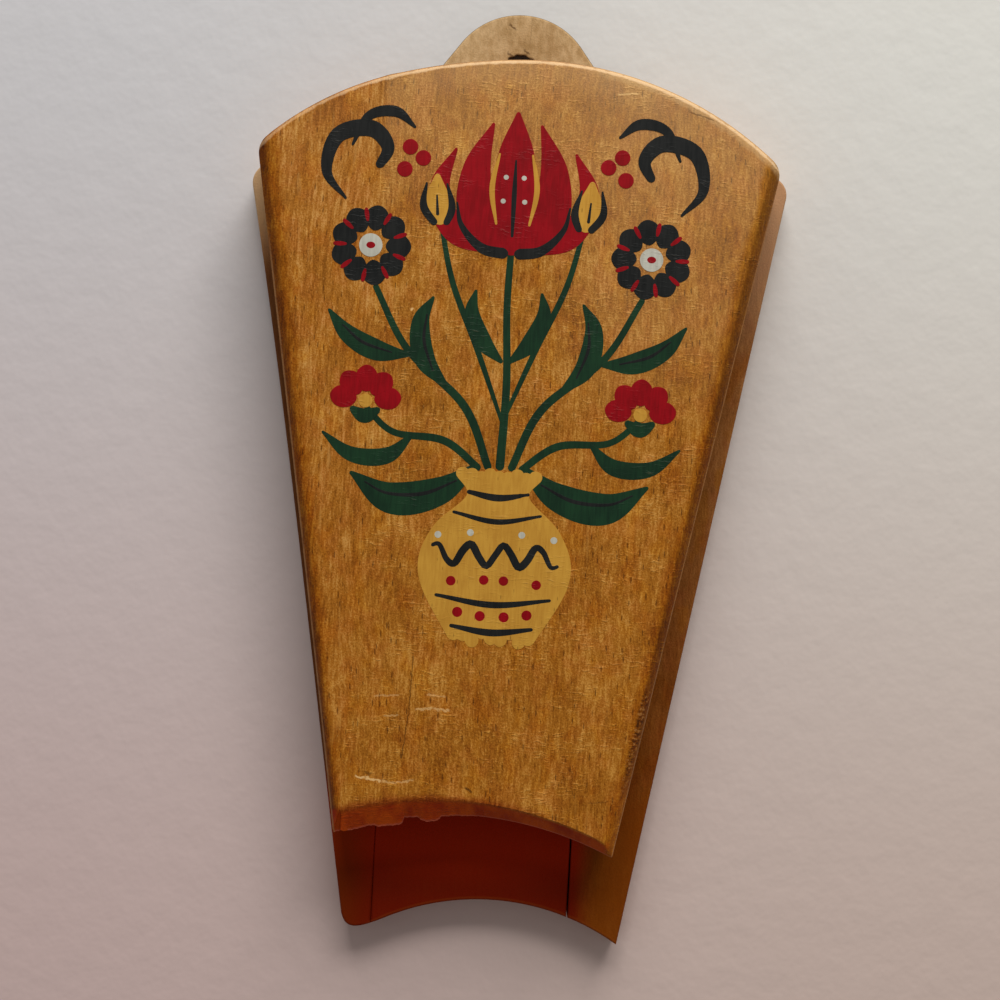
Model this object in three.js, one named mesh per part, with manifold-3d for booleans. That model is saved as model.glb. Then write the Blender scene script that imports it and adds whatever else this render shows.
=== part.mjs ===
// Wall knife holder in beech: a wide back board with a hanging tab, a thick front board that stands a little
// askew on it, and between them two rails and a fan of four dividers that leave five tapered slots.
// Millimetres, Z up. X runs to the right seen from the front, the front faces -Y and the wall is the plane y = 0.
// The origin is the centre of the hanging hole on the wall plane.
import * as THREE from "three";
import { mergeVertices } from "three/addons/utils/BufferGeometryUtils.js";
import Module from "manifold-3d";

const wasm = await Module();
wasm.setup();

// Driving sizes
const BACK_THICKNESS = 12;
const SLOT_DEPTH = 6;
const FRONT_THICKNESS = 18;
const LEVEL = -144.5; // height of z = 0 of both boards' own frames

// Each board has its own frame, with x = 0 on its middle line. A side's halfWidth is taken at z = 0. From there it
// leans in by its taper towards the lower end, and it is bowed a little: a cubic curve whose handles, a third and two
// thirds of the way down, lie this far inside the straight line. Its corner is how much of the top corner is rounded.
// The top is one arc, or a chain of tangent arcs from right to left, each starting at an angle on the one before.
// The bottom arc is the upper part of a circle.
const BACK = {
  middle: 2.1,
  left: { halfWidth: 75.15, taper: THREE.MathUtils.degToRad(10), bows: [2.2, 0.4], corner: 4 },
  right: { halfWidth: 74.7, taper: THREE.MathUtils.degToRad(9.78), bows: [0.2, 0.05], corner: 4 },
  top: [{ x: 2.8, z: 0, radius: 141 }],
  bottom: { x: 2.55, z: -227.5, radius: 83.2 },
  ease: { top: 1.2, side: 1.2, bottom: 1.6 },
};
const FRONT = {
  middle: -0.35,
  left: { halfWidth: 68.4, taper: THREE.MathUtils.degToRad(9.94), bows: [0.1, 0.65], corner: 4 },
  right: { halfWidth: 68.85, taper: THREE.MathUtils.degToRad(10.14), bows: [0, 0], corner: 4 },
  top: [
    { x: 7.2, z: 21, radius: 121.6 },
    { start: THREE.MathUtils.degToRad(93.1), radius: 189.7 },
    { start: THREE.MathUtils.degToRad(106.5), radius: 105.9 },
  ],
  bottom: { x: -4.3, z: -232.7, radius: 121.1 },
  ease: { top: 2, side: 1.5, bottom: 4 },
};

// The back board's lower left tip is worn round: a cubic curve that leaves the side and joins the bottom arc at
// these lengths from the sharp corner, with its two handles at these places from that corner
BACK.tip = { alongSide: 9.4, alongArc: 17.3, handles: [new THREE.Vector2(0.1, 2.7), new THREE.Vector2(4.5, 3.9)] };

const FRONT_TURN = THREE.MathUtils.degToRad(0.625); // lower end of the front board to the left

// Broad bevels down the sides of the front board: how far each reaches in on the face, and how deep it cuts
const LEFT_BEVEL = { topWidth: 7.4, bottomWidth: 4.4, depth: 3.5 };
const RIGHT_BEVEL = { topWidth: 5.5, bottomWidth: 4.4, depth: 4 };

// Edge joints between staves, measured from each board's middle line
const BACK_JOINTS = [-38.1, 29.7];
const OPEN_JOINT_GAP = 0.5; // the right-hand joint of the back board has opened
const FRONT_JOINT = -44.75;

// Hanging tab: an arc whose ends, this far above the level of its centre, run on as straight flanks
const TAB_RADIUS = 26;
const TAB_CENTRE = new THREE.Vector2(0.2, -7.1);
const TAB_FLANK_ANGLE = THREE.MathUtils.degToRad(36.5);
const TAB_FLANK_LENGTH = 30; // long enough to end inside the board
const HOLE_RADIUS = 4.8;

// Rails and dividers: straight battens set along lines that meet far below the board
const FAN_MIDDLE = 0.7;
const FAN_HALF_WIDTH = 62.5; // outer edge of the rails at the level of the boards' frames
const FAN_ANGLE = THREE.MathUtils.degToRad(9.8); // of the rails
const FAN_APEX = LEVEL - FAN_HALF_WIDTH / Math.tan(FAN_ANGLE);
const RAIL_WIDTH = 10;
const DIVIDER_WIDTH = 6;
const RAIL_TOP = { x: 1.95, z: 0, radius: 134.6 }; // arcs of the front board's frame on which their upper ends lie
const DIVIDER_TOP = { x: 1.95, z: 0, radius: 128.6 };
const BATTEN_BOTTOM = { ...FRONT.bottom, radius: FRONT.bottom.radius + 4 }; // and their lower ends
const SLOT_SHARES = [0.16, 0.2, 0.28, 0.2, 0.16];

// Screws, from the back through the rails into the front board
const SCREW = { headRadius: 3.5, headHeight: 2.4, shankRadius: 1.75, length: 30, sunk: 0.4, slot: 0.9 };
const SCREW_CLEARANCE = 0.3;
const SCREW_PLACES = [0.1, 0.5, 0.88]; // shares of the way down a rail
const OVERSHOOT = 1; // how far cutters reach past the wood that they cut

// Fineness of curves
const ARC_DIVISIONS = 16;
const TAB_DIVISIONS = 32;
const BATTEN_END_DIVISIONS = 8;
const HANGING_HOLE_SIDES = 32;
const SCREW_HOLE_SIDES = 20;
const SCREW_SIDES = 16;
const POINT_GAP = 0.05; // outline points nearer than this to the next are dropped

const WOOD = { roughness: 0.42, metalness: 0 };
const materials = {
  front: new THREE.MeshStandardMaterial({ color: "#a8702c", ...WOOD }),
  frontLeft: new THREE.MeshStandardMaterial({ color: "#9c6123", ...WOOD }),
  back: new THREE.MeshStandardMaterial({ color: "#7a3f17", ...WOOD }),
  batten: new THREE.MeshStandardMaterial({ color: "#b98d55", roughness: 0.7, metalness: 0 }),
  screw: new THREE.MeshStandardMaterial({ color: "#8f8a80", roughness: 0.35, metalness: 1 }),
};

/** Where the chord of a board's side (sign -1 left, 1 right) meets the upper part of a circle. */
function meet(board, sign, arc) {
  const { halfWidth, taper } = sign > 0 ? board.right : board.left;
  const slope = Math.tan(taper);
  const reach = halfWidth - sign * arc.x;
  const a = 1 + slope * slope;
  const b = 2 * (slope * reach - arc.z);
  const c = reach * reach + arc.z * arc.z - arc.radius * arc.radius;
  const z = (-b + Math.sqrt(b * b - 4 * a * c)) / (2 * a);
  return new THREE.Vector2(sign * (halfWidth + slope * z), z);
}

/** Angle of a point on a circle, measured from the circle's centre. */
function angleOn(arc, point) {
  return Math.atan2(point.y - arc.z, point.x - arc.x);
}

/** A point on a circle at an angle. */
function pointOn(arc, angle) {
  return new THREE.Vector2(arc.x + arc.radius * Math.cos(angle), arc.z + arc.radius * Math.sin(angle));
}

/** A board's top arcs as circles, each but the first with its start angle. */
function topArcs(board) {
  const [first, ...others] = board.top;
  const arcs = [{ ...first }];
  for (const { start, radius } of others) {
    const joint = pointOn(arcs.at(-1), start);
    arcs.push({ x: joint.x - radius * Math.cos(start), z: joint.y - radius * Math.sin(start), radius, start });
  }
  return arcs;
}

/** A board's top corner, before it is rounded. */
function topCorner(board, sign) {
  return meet(board, sign, topArcs(board).at(sign > 0 ? 0 : -1));
}

/** The point at a distance from one point towards another. */
function towards(from, to, distance) {
  return to.clone().sub(from).setLength(distance).add(from);
}

/** Adds one side of an anticlockwise outline to a path, bowed inwards by the given amounts along the way. */
function addSide(path, from, to, bows) {
  if (bows.every((bow) => bow === 0)) {
    path.lineTo(to.x, to.y);
    return;
  }
  const inwards = new THREE.Vector2(from.y - to.y, to.x - from.x).normalize();
  const [first, second] = bows.map((bow, i) => from.clone().lerp(to, (i + 1) / 3).addScaledVector(inwards, bow));
  path.bezierCurveTo(first.x, first.y, second.x, second.y, to.x, to.y);
}

/** A board's outline as points, anticlockwise seen from the front, from the lower end of the right side. */
function boardOutline(board) {
  const { left, right, bottom, tip } = board;
  const arcs = topArcs(board);
  const firstArc = arcs[0];
  const lastArc = arcs.at(-1);
  const lowRight = meet(board, 1, bottom);
  const topRight = topCorner(board, 1);
  const topLeft = topCorner(board, -1);
  const lowLeft = meet(board, -1, bottom);
  firstArc.start = angleOn(firstArc, topRight) + right.corner / firstArc.radius;
  const topEnd = angleOn(lastArc, topLeft) - left.corner / lastArc.radius;
  const bottomEnd = angleOn(bottom, lowRight);
  let bottomStart = angleOn(bottom, lowLeft);

  const path = new THREE.Path();
  path.moveTo(lowRight.x, lowRight.y);
  addSide(path, lowRight, towards(topRight, lowRight, right.corner), right.bows.toReversed());
  const archStart = pointOn(firstArc, firstArc.start);
  path.quadraticCurveTo(topRight.x, topRight.y, archStart.x, archStart.y);
  arcs.forEach((arc, i) => {
    path.absarc(arc.x, arc.z, arc.radius, arc.start, arcs[i + 1]?.start ?? topEnd, false);
  });
  const leftStart = towards(topLeft, lowLeft, left.corner);
  path.quadraticCurveTo(topLeft.x, topLeft.y, leftStart.x, leftStart.y);
  if (tip) {
    bottomStart -= tip.alongArc / bottom.radius;
    const leftEnd = towards(lowLeft, topLeft, tip.alongSide);
    const [first, second] = tip.handles.map((handle) => lowLeft.clone().add(handle));
    const archEnd = pointOn(bottom, bottomStart);
    addSide(path, leftStart, leftEnd, left.bows);
    path.bezierCurveTo(first.x, first.y, second.x, second.y, archEnd.x, archEnd.y);
  } else {
    addSide(path, leftStart, lowLeft, left.bows);
  }
  path.absarc(bottom.x, bottom.z, bottom.radius, bottomStart, bottomEnd, true);
  return tidyPoints(path.getPoints(ARC_DIVISIONS));
}

/** The tab's outline in the back board's frame, closed inside the board. */
function tabOutline() {
  const centre = TAB_CENTRE.clone().sub(new THREE.Vector2(BACK.middle, LEVEL));
  const arc = { x: centre.x, z: centre.y, radius: TAB_RADIUS };
  const flank = new THREE.Vector2(Math.sin(TAB_FLANK_ANGLE), -Math.cos(TAB_FLANK_ANGLE));
  const rightFoot = pointOn(arc, TAB_FLANK_ANGLE).addScaledVector(flank, TAB_FLANK_LENGTH);
  flank.x = -flank.x;
  const leftFoot = pointOn(arc, Math.PI - TAB_FLANK_ANGLE).addScaledVector(flank, TAB_FLANK_LENGTH);
  const path = new THREE.Path();
  path.moveTo(rightFoot.x, rightFoot.y);
  path.absarc(arc.x, arc.z, arc.radius, TAB_FLANK_ANGLE, Math.PI - TAB_FLANK_ANGLE, false);
  path.lineTo(leftFoot.x, leftFoot.y);
  return tidyPoints(path.getPoints(TAB_DIVISIONS));
}

/** Drops points that repeat their neighbour, the last against the first too. */
function tidyPoints(points) {
  return points.filter((point, i) => point.distanceTo(points[(i + 1) % points.length]) > POINT_GAP);
}

/** Outward normal and mitre length at each point of an anticlockwise outline. */
function outlineNormals(points) {
  return points.map((point, i) => {
    const before = points[(i + points.length - 1) % points.length];
    const after = points[(i + 1) % points.length];
    const a = point.clone().sub(before).normalize();
    const b = after.clone().sub(point).normalize();
    const normal = new THREE.Vector2(a.y + b.y, -a.x - b.x).normalize();
    const mitre = 1 / Math.max(0.5, normal.x * a.y - normal.y * a.x);
    return { normal, mitre };
  });
}

/** How far the front edge is rounded at a point, from the way that its normal looks. */
function easeAt(ease, normal) {
  const topShare = THREE.MathUtils.smoothstep(normal.y, 0.2, 0.75);
  const bottomShare = THREE.MathUtils.smoothstep(-normal.y, 0.3, 0.8);
  return ease.side + (ease.top - ease.side) * topShare + (ease.bottom - ease.side) * bottomShare;
}

/** A closed board from y = rear to y = rear - thickness, with its front edge rounded over. */
function boardGeometry(outline, thickness, rear, ease) {
  const ROUND_STEPS = 4;
  const normals = outlineNormals(outline);
  const positions = [];
  const ring = (y, inset) => {
    outline.forEach((point, i) => {
      const round = easeAt(ease, normals[i].normal);
      const reach = round * inset(round) * normals[i].mitre;
      positions.push(point.x - normals[i].normal.x * reach, y(round), point.y - normals[i].normal.y * reach);
    });
  };
  ring(() => rear, () => 0);
  for (let step = 0; step <= ROUND_STEPS; step += 1) {
    const angle = (step / ROUND_STEPS) * (Math.PI / 2);
    ring((round) => rear - thickness + round * (1 - Math.sin(angle)), () => 1 - Math.cos(angle));
  }
  const count = outline.length;
  const indices = [];
  for (let layer = 0; layer <= ROUND_STEPS; layer += 1) {
    for (let i = 0; i < count; i += 1) {
      const j = (i + 1) % count;
      const low = layer * count;
      const high = low + count;
      indices.push(low + i, low + j, high + j, low + i, high + j, high + i);
    }
  }
  const front = (ROUND_STEPS + 1) * count;
  for (const [a, b, c] of THREE.ShapeUtils.triangulateShape(outline, [])) {
    indices.push(a, c, b);
    indices.push(front + a, front + b, front + c);
  }
  const geometry = new THREE.BufferGeometry();
  geometry.setAttribute("position", new THREE.Float32BufferAttribute(positions, 3));
  geometry.setIndex(indices);
  return geometry;
}

/** A manifold solid from a closed geometry. */
function solidFrom(geometry) {
  const bare = geometry.clone();
  bare.deleteAttribute("normal");
  bare.deleteAttribute("uv");
  const merged = mergeVertices(bare, 1e-4);
  return new wasm.Manifold(
    new wasm.Mesh({
      numProp: 3,
      vertProperties: new Float32Array(merged.attributes.position.array),
      triVerts: new Uint32Array(merged.index.array),
    }),
  );
}

/** A flat-shaded geometry from a manifold solid. */
function geometryFrom(solid) {
  const mesh = solid.getMesh();
  const geometry = new THREE.BufferGeometry();
  geometry.setAttribute("position", new THREE.Float32BufferAttribute(mesh.vertProperties, 3));
  geometry.setIndex(Array.from(mesh.triVerts));
  const flat = geometry.toNonIndexed();
  flat.computeVertexNormals();
  return flat;
}

/** A named mesh of the holder. */
function piece(name, geometry, material) {
  const mesh = new THREE.Mesh(geometry, material);
  mesh.name = name;
  return mesh;
}

/** The space that a screw takes in the wood, along -Y from the wall plane at a place. */
function screwHole(place) {
  const radius = SCREW.shankRadius + SCREW_CLEARANCE;
  const headRadius = SCREW.headRadius + SCREW_CLEARANCE;
  const depth = SCREW.length + SCREW.sunk + OVERSHOOT;
  const profile = [
    new THREE.Vector2(0, OVERSHOOT),
    new THREE.Vector2(headRadius, OVERSHOOT),
    new THREE.Vector2(headRadius, -SCREW.sunk),
    new THREE.Vector2(radius, -SCREW.sunk - SCREW.headHeight),
    new THREE.Vector2(radius, -depth),
    new THREE.Vector2(0, -depth),
  ].reverse();
  return solidFrom(new THREE.LatheGeometry(profile, SCREW_HOLE_SIDES)).translate(place.toArray());
}

/** A slotted countersunk wood screw along -Y, its head just under y = 0. */
function screwGeometry() {
  const RIDGES = 9;
  const THREAD_START = 14;
  const POINT_LENGTH = 4;
  const CORE_RADIUS = 1.2;
  const pitch = (SCREW.length - THREAD_START - POINT_LENGTH) / RIDGES;
  const profile = [
    new THREE.Vector2(0, 0),
    new THREE.Vector2(SCREW.headRadius, 0),
    new THREE.Vector2(SCREW.shankRadius, -SCREW.headHeight),
    new THREE.Vector2(SCREW.shankRadius, -THREAD_START),
  ];
  for (let ridge = 0; ridge < RIDGES; ridge += 1) {
    const y = -THREAD_START - ridge * pitch;
    profile.push(new THREE.Vector2(CORE_RADIUS, y - 0.25 * pitch));
    profile.push(new THREE.Vector2(SCREW.shankRadius, y - 0.75 * pitch));
  }
  profile.push(new THREE.Vector2(CORE_RADIUS, -SCREW.length + POINT_LENGTH));
  profile.push(new THREE.Vector2(0, -SCREW.length));
  const body = solidFrom(new THREE.LatheGeometry(profile.reverse(), SCREW_SIDES));
  const slot = solidFrom(new THREE.BoxGeometry(2 * SCREW.headRadius + OVERSHOOT, 2 * SCREW.slot, SCREW.slot));
  return geometryFrom(body.subtract(slot).translate([0, -SCREW.sunk, 0]));
}

/** A straight batten that stands on z = 0, its upper end rounded, as deep as the slots. */
function battenGeometry(width, length) {
  const shape = new THREE.Shape();
  const radius = width / 2;
  shape.moveTo(-radius, 0);
  shape.lineTo(radius, 0);
  shape.lineTo(radius, length - radius);
  shape.absarc(0, length - radius, radius, 0, Math.PI, false);
  const options = { depth: SLOT_DEPTH, bevelEnabled: false, curveSegments: BATTEN_END_DIVISIONS };
  const geometry = new THREE.ExtrudeGeometry(shape, options);
  return geometry.rotateX(Math.PI / 2);
}

/** A batten placed on a line of the fan: angle from upright, offset sideways from that line, and its top arc. */
function fanBatten(name, width, angle, offset, topArc) {
  const reach = (arc) => {
    const drop = FAN_APEX - LEVEL - arc.z;
    const side = FAN_MIDDLE - FRONT.middle - arc.x;
    const along = drop * Math.cos(angle) + side * Math.sin(angle);
    const across = drop * drop + side * side - arc.radius ** 2;
    return -along + Math.sqrt(along * along - across);
  };
  const low = reach(BATTEN_BOTTOM);
  const length = reach(topArc) - low;
  const batten = piece(name, battenGeometry(width, length), materials.batten);
  const x = FAN_MIDDLE + low * Math.sin(angle) + offset * Math.cos(angle);
  const z = FAN_APEX + low * Math.cos(angle) - offset * Math.sin(angle);
  batten.position.set(x, -BACK_THICKNESS, z);
  batten.rotation.y = angle;
  batten.userData.length = length;
  batten.updateMatrixWorld();
  return batten;
}

/** The two rails and the dividers between them. */
function makeBattens() {
  const group = new THREE.Group();
  const rails = [
    fanBatten("side_rail_left", RAIL_WIDTH, -FAN_ANGLE, RAIL_WIDTH / 2, RAIL_TOP),
    fanBatten("side_rail_right", RAIL_WIDTH, FAN_ANGLE, -RAIL_WIDTH / 2, RAIL_TOP),
  ];
  group.add(...rails);
  const innerAngle = FAN_ANGLE * (1 - RAIL_WIDTH / FAN_HALF_WIDTH);
  let share = 0;
  SLOT_SHARES.slice(0, -1).forEach((slotShare, i) => {
    share += slotShare;
    const angle = innerAngle * (2 * share - 1);
    group.add(fanBatten(`divider_${i + 1}`, DIVIDER_WIDTH, angle, 0, DIVIDER_TOP));
  });
  return { group, rails };
}

/** Screw places on the wall plane, worked out along the middle of each rail. */
function screwPlaces(rails) {
  return rails.flatMap((rail) =>
    SCREW_PLACES.map((share) => {
      const height = rail.userData.length * (1 - share);
      return rail.localToWorld(new THREE.Vector3(0, BACK_THICKNESS, height));
    }),
  );
}

/** Takes the screw holes out of a piece, in the piece's own frame. */
function drill(solid, frame, places) {
  return places.reduce((rest, place) => rest.subtract(screwHole(frame.worldToLocal(place.clone()))), solid);
}

/** The part of a solid between two planes x = left and x = right. */
function slice(solid, left, right) {
  return solid.trimByPlane([1, 0, 0], left).trimByPlane([-1, 0, 0], -right);
}

/** The back board in three staves, with the tab, the hanging hole and the screw holes. */
function makeBackBoard(places) {
  const group = new THREE.Group();
  group.position.set(BACK.middle, 0, LEVEL);
  group.updateMatrixWorld();
  const board = solidFrom(boardGeometry(boardOutline(BACK), BACK_THICKNESS, 0, BACK.ease));
  const tab = solidFrom(boardGeometry(tabOutline(), BACK_THICKNESS, 0, BACK.ease));
  const drillBit = new THREE.CylinderGeometry(HOLE_RADIUS, HOLE_RADIUS, 4 * BACK_THICKNESS, HANGING_HOLE_SIDES);
  const whole = board.add(tab).subtract(solidFrom(drillBit).translate([-BACK.middle, 0, -LEVEL]));
  const drilled = drill(whole, group, places);
  const [left, right] = BACK_JOINTS;
  const wide = 2 * BACK.left.halfWidth;
  group.add(piece("back_stave_left", geometryFrom(slice(drilled, -wide, left)), materials.back));
  group.add(piece("back_stave_middle", geometryFrom(slice(drilled, left, right)), materials.back));
  group.add(piece("back_stave_right", geometryFrom(slice(drilled, right + OPEN_JOINT_GAP, wide)), materials.back));
  return group;
}

/** Cuts a broad bevel down one side (sign -1 left, 1 right) of the front board. */
function bevelSide(solid, sign, bevel, face) {
  const high = topCorner(FRONT, sign);
  const low = meet(FRONT, sign, FRONT.bottom);
  const topInner = new THREE.Vector3(high.x - sign * bevel.topWidth, face, high.y);
  const bottomInner = new THREE.Vector3(low.x - sign * bevel.bottomWidth, face, low.y);
  const topOuter = new THREE.Vector3(high.x, face + bevel.depth, high.y);
  const plane = new THREE.Plane().setFromCoplanarPoints(topInner, bottomInner, topOuter);
  const middle = new THREE.Vector3(0, face + FRONT_THICKNESS / 2, 0);
  if (plane.distanceToPoint(middle) < 0) {
    plane.negate();
  }
  return solid.trimByPlane(plane.normal.toArray(), -plane.constant);
}

/** The front board in two staves, turned a little on the back board. */
function makeFrontBoard(places) {
  const group = new THREE.Group();
  group.position.set(FRONT.middle, 0, LEVEL);
  group.rotation.y = FRONT_TURN;
  group.updateMatrixWorld();
  const rear = -BACK_THICKNESS - SLOT_DEPTH;
  const face = rear - FRONT_THICKNESS;
  const board = solidFrom(boardGeometry(boardOutline(FRONT), FRONT_THICKNESS, rear, FRONT.ease));
  const bevelled = bevelSide(bevelSide(board, -1, LEFT_BEVEL, face), 1, RIGHT_BEVEL, face);
  const drilled = drill(bevelled, group, places);
  const wide = 2 * FRONT.left.halfWidth;
  group.add(piece("front_stave_left", geometryFrom(slice(drilled, -wide, FRONT_JOINT)), materials.frontLeft));
  group.add(piece("front_stave_right", geometryFrom(slice(drilled, FRONT_JOINT, wide)), materials.front));
  return group;
}

/** Drills the rails where the screws pass. */
function drillRails(rails, places) {
  for (const rail of rails) {
    rail.geometry = geometryFrom(drill(solidFrom(rail.geometry), rail, places));
  }
}

/** The screws, numbered down the left rail and then down the right one. */
function makeScrews(places) {
  const group = new THREE.Group();
  const geometry = screwGeometry();
  places.forEach((place, i) => {
    const screw = piece(`screw_${i + 1}`, geometry.clone(), materials.screw);
    screw.position.set(place.x, 0, place.z);
    group.add(screw);
  });
  return group;
}

const { group: battens, rails } = makeBattens();
const places = screwPlaces(rails);
drillRails(rails, places);

const knifeHolder = new THREE.Group();
knifeHolder.add(makeBackBoard(places), battens, makeFrontBoard(places), makeScrews(places));

export default knifeHolder;
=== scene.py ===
"""Looks of a wall knife holder: a fan-shaped beech front board on a wider back board, with painted flowers.

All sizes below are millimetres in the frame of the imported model: X to the right, Z up, the wall at y = 0 and
the front towards -Y, with the origin at the centre of the hanging hole. Meshes are scaled to metres when they
are made.
"""
import math

import bpy
import numpy as np
from mathutils import Matrix, Vector
from mathutils.geometry import tessellate_polygon


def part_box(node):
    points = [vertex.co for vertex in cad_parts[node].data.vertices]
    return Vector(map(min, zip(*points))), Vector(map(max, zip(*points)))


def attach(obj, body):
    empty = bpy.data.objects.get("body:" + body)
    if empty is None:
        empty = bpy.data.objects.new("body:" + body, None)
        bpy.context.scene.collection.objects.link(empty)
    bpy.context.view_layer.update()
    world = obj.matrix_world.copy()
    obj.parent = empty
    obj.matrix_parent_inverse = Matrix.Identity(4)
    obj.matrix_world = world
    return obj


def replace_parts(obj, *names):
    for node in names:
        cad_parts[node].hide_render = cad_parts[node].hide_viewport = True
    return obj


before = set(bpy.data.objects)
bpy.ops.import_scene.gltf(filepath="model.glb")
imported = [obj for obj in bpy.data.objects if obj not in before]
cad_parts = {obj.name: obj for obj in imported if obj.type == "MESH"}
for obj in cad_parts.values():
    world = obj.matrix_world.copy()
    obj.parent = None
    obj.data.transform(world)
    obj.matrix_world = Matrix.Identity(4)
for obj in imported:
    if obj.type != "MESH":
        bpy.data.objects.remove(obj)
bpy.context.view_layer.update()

MM = 0.001

# Camera: the eye's place, how far it is rolled against the object, and its focal length in image pixels
EYE = (1.1, -650.0, -149.8)
EYE_ROLL = math.radians(3.08)
FOCAL_PIXELS = 1837.0
IMAGE_PIXELS = 1000.0
SENSOR = 36.0


def chain(x, z, radius, *others):
    """Tangent arcs from right to left as (x, z, radius, start angle). others are (start angle, radius)."""
    arcs = [(x, z, radius, 0.0)]
    for start, next_radius in others:
        x, z, radius, _ = arcs[-1]
        apart = radius - next_radius
        arcs.append((x + apart * math.cos(start), z + apart * math.sin(start), next_radius, start))
    return arcs


# Boards, as in the part: each has its own frame at the height LEVEL, with x = 0 on the board's middle line.
# Its left and right side give a half width at z = 0, the angle that they lean in downwards, and their bow.
LEVEL = -144.5
BACK_FACE = -12.0
FRONT_REAR = -18.0
FRONT_FACE = -36.0
BACK = {"middle": 2.1, "turn": 0.0,
        "sides": ((75.15, math.radians(10.0), (2.2, 0.4)), (74.7, math.radians(9.78), (0.2, 0.05))),
        "top": chain(2.8, 0.0, 141.0), "bottom": chain(2.55, -227.5, 83.2)}
FRONT = {"middle": -0.35, "turn": math.radians(0.625),
         "sides": ((68.4, math.radians(9.94), (0.1, 0.65)), (68.85, math.radians(10.14), (0.0, 0.0))),
         "top": chain(7.2, 21.0, 121.6, (math.radians(93.1), 189.7), (math.radians(106.5), 105.9)),
         "bottom": chain(-4.3, -232.7, 121.1)}
BACK_JOINTS = (-38.1, 29.7)
OPEN_JOINT_GAP = 0.5
FRONT_JOINT = -44.75
TAB_CENTRE = (0.2, -7.1)
TAB_RADIUS = 26.0
TAB_FLANK = math.radians(36.5)
BACK_TOP_CORNERS = 4.0
TIP = {"along_side": 9.4, "along_arc": 17.3, "handles": ((0.1, 2.7), (4.5, 3.9))}
HOLE_RADIUS = 4.8
SCREW_HOLE = {"head_radius": 3.8, "radius": 2.05, "sunk": -0.4, "cone_end": -2.8}


def srgb(colour):
    """A colour given in 8-bit steps, as the scene-linear numbers that a shader takes. A shader's own
    colour stays as it is."""
    if isinstance(colour, Value):
        return colour
    steps = np.array(colour) / 255.0
    linear = np.where(steps <= 0.04045, steps / 12.92, ((steps + 0.055) / 1.055) ** 2.4)
    return (*map(float, linear), 1.0)


# Shader maths


def operators(operation):
    """An operator of values and its reflected form, each of which adds one Math node."""
    def forward(value, other):
        return value.shader.maths(operation, value, other)

    def reflected(value, other):
        return value.shader.maths(operation, other, value)

    return forward, reflected


class Value:
    """A node's output socket. Expressions on values add the Math nodes for them."""

    def __init__(self, shader, socket):
        self.shader = shader
        self.socket = socket

    __add__, __radd__ = operators("ADD")
    __sub__, __rsub__ = operators("SUBTRACT")
    __mul__, __rmul__ = operators("MULTIPLY")
    __truediv__, __rtruediv__ = operators("DIVIDE")
    __pow__, __rpow__ = operators("POWER")

    def smooth(self, low, high):
        """0 below low, 1 above high and a smooth step between; falls instead of rising where low > high."""
        if low > high:
            return 1 - self.smooth(high, low)
        limits = {"Value": self, "From Min": low, "From Max": high, "To Min": 0, "To Max": 1}
        return self.shader.node("ShaderNodeMapRange", {"interpolation_type": "SMOOTHSTEP"}, limits)


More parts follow.
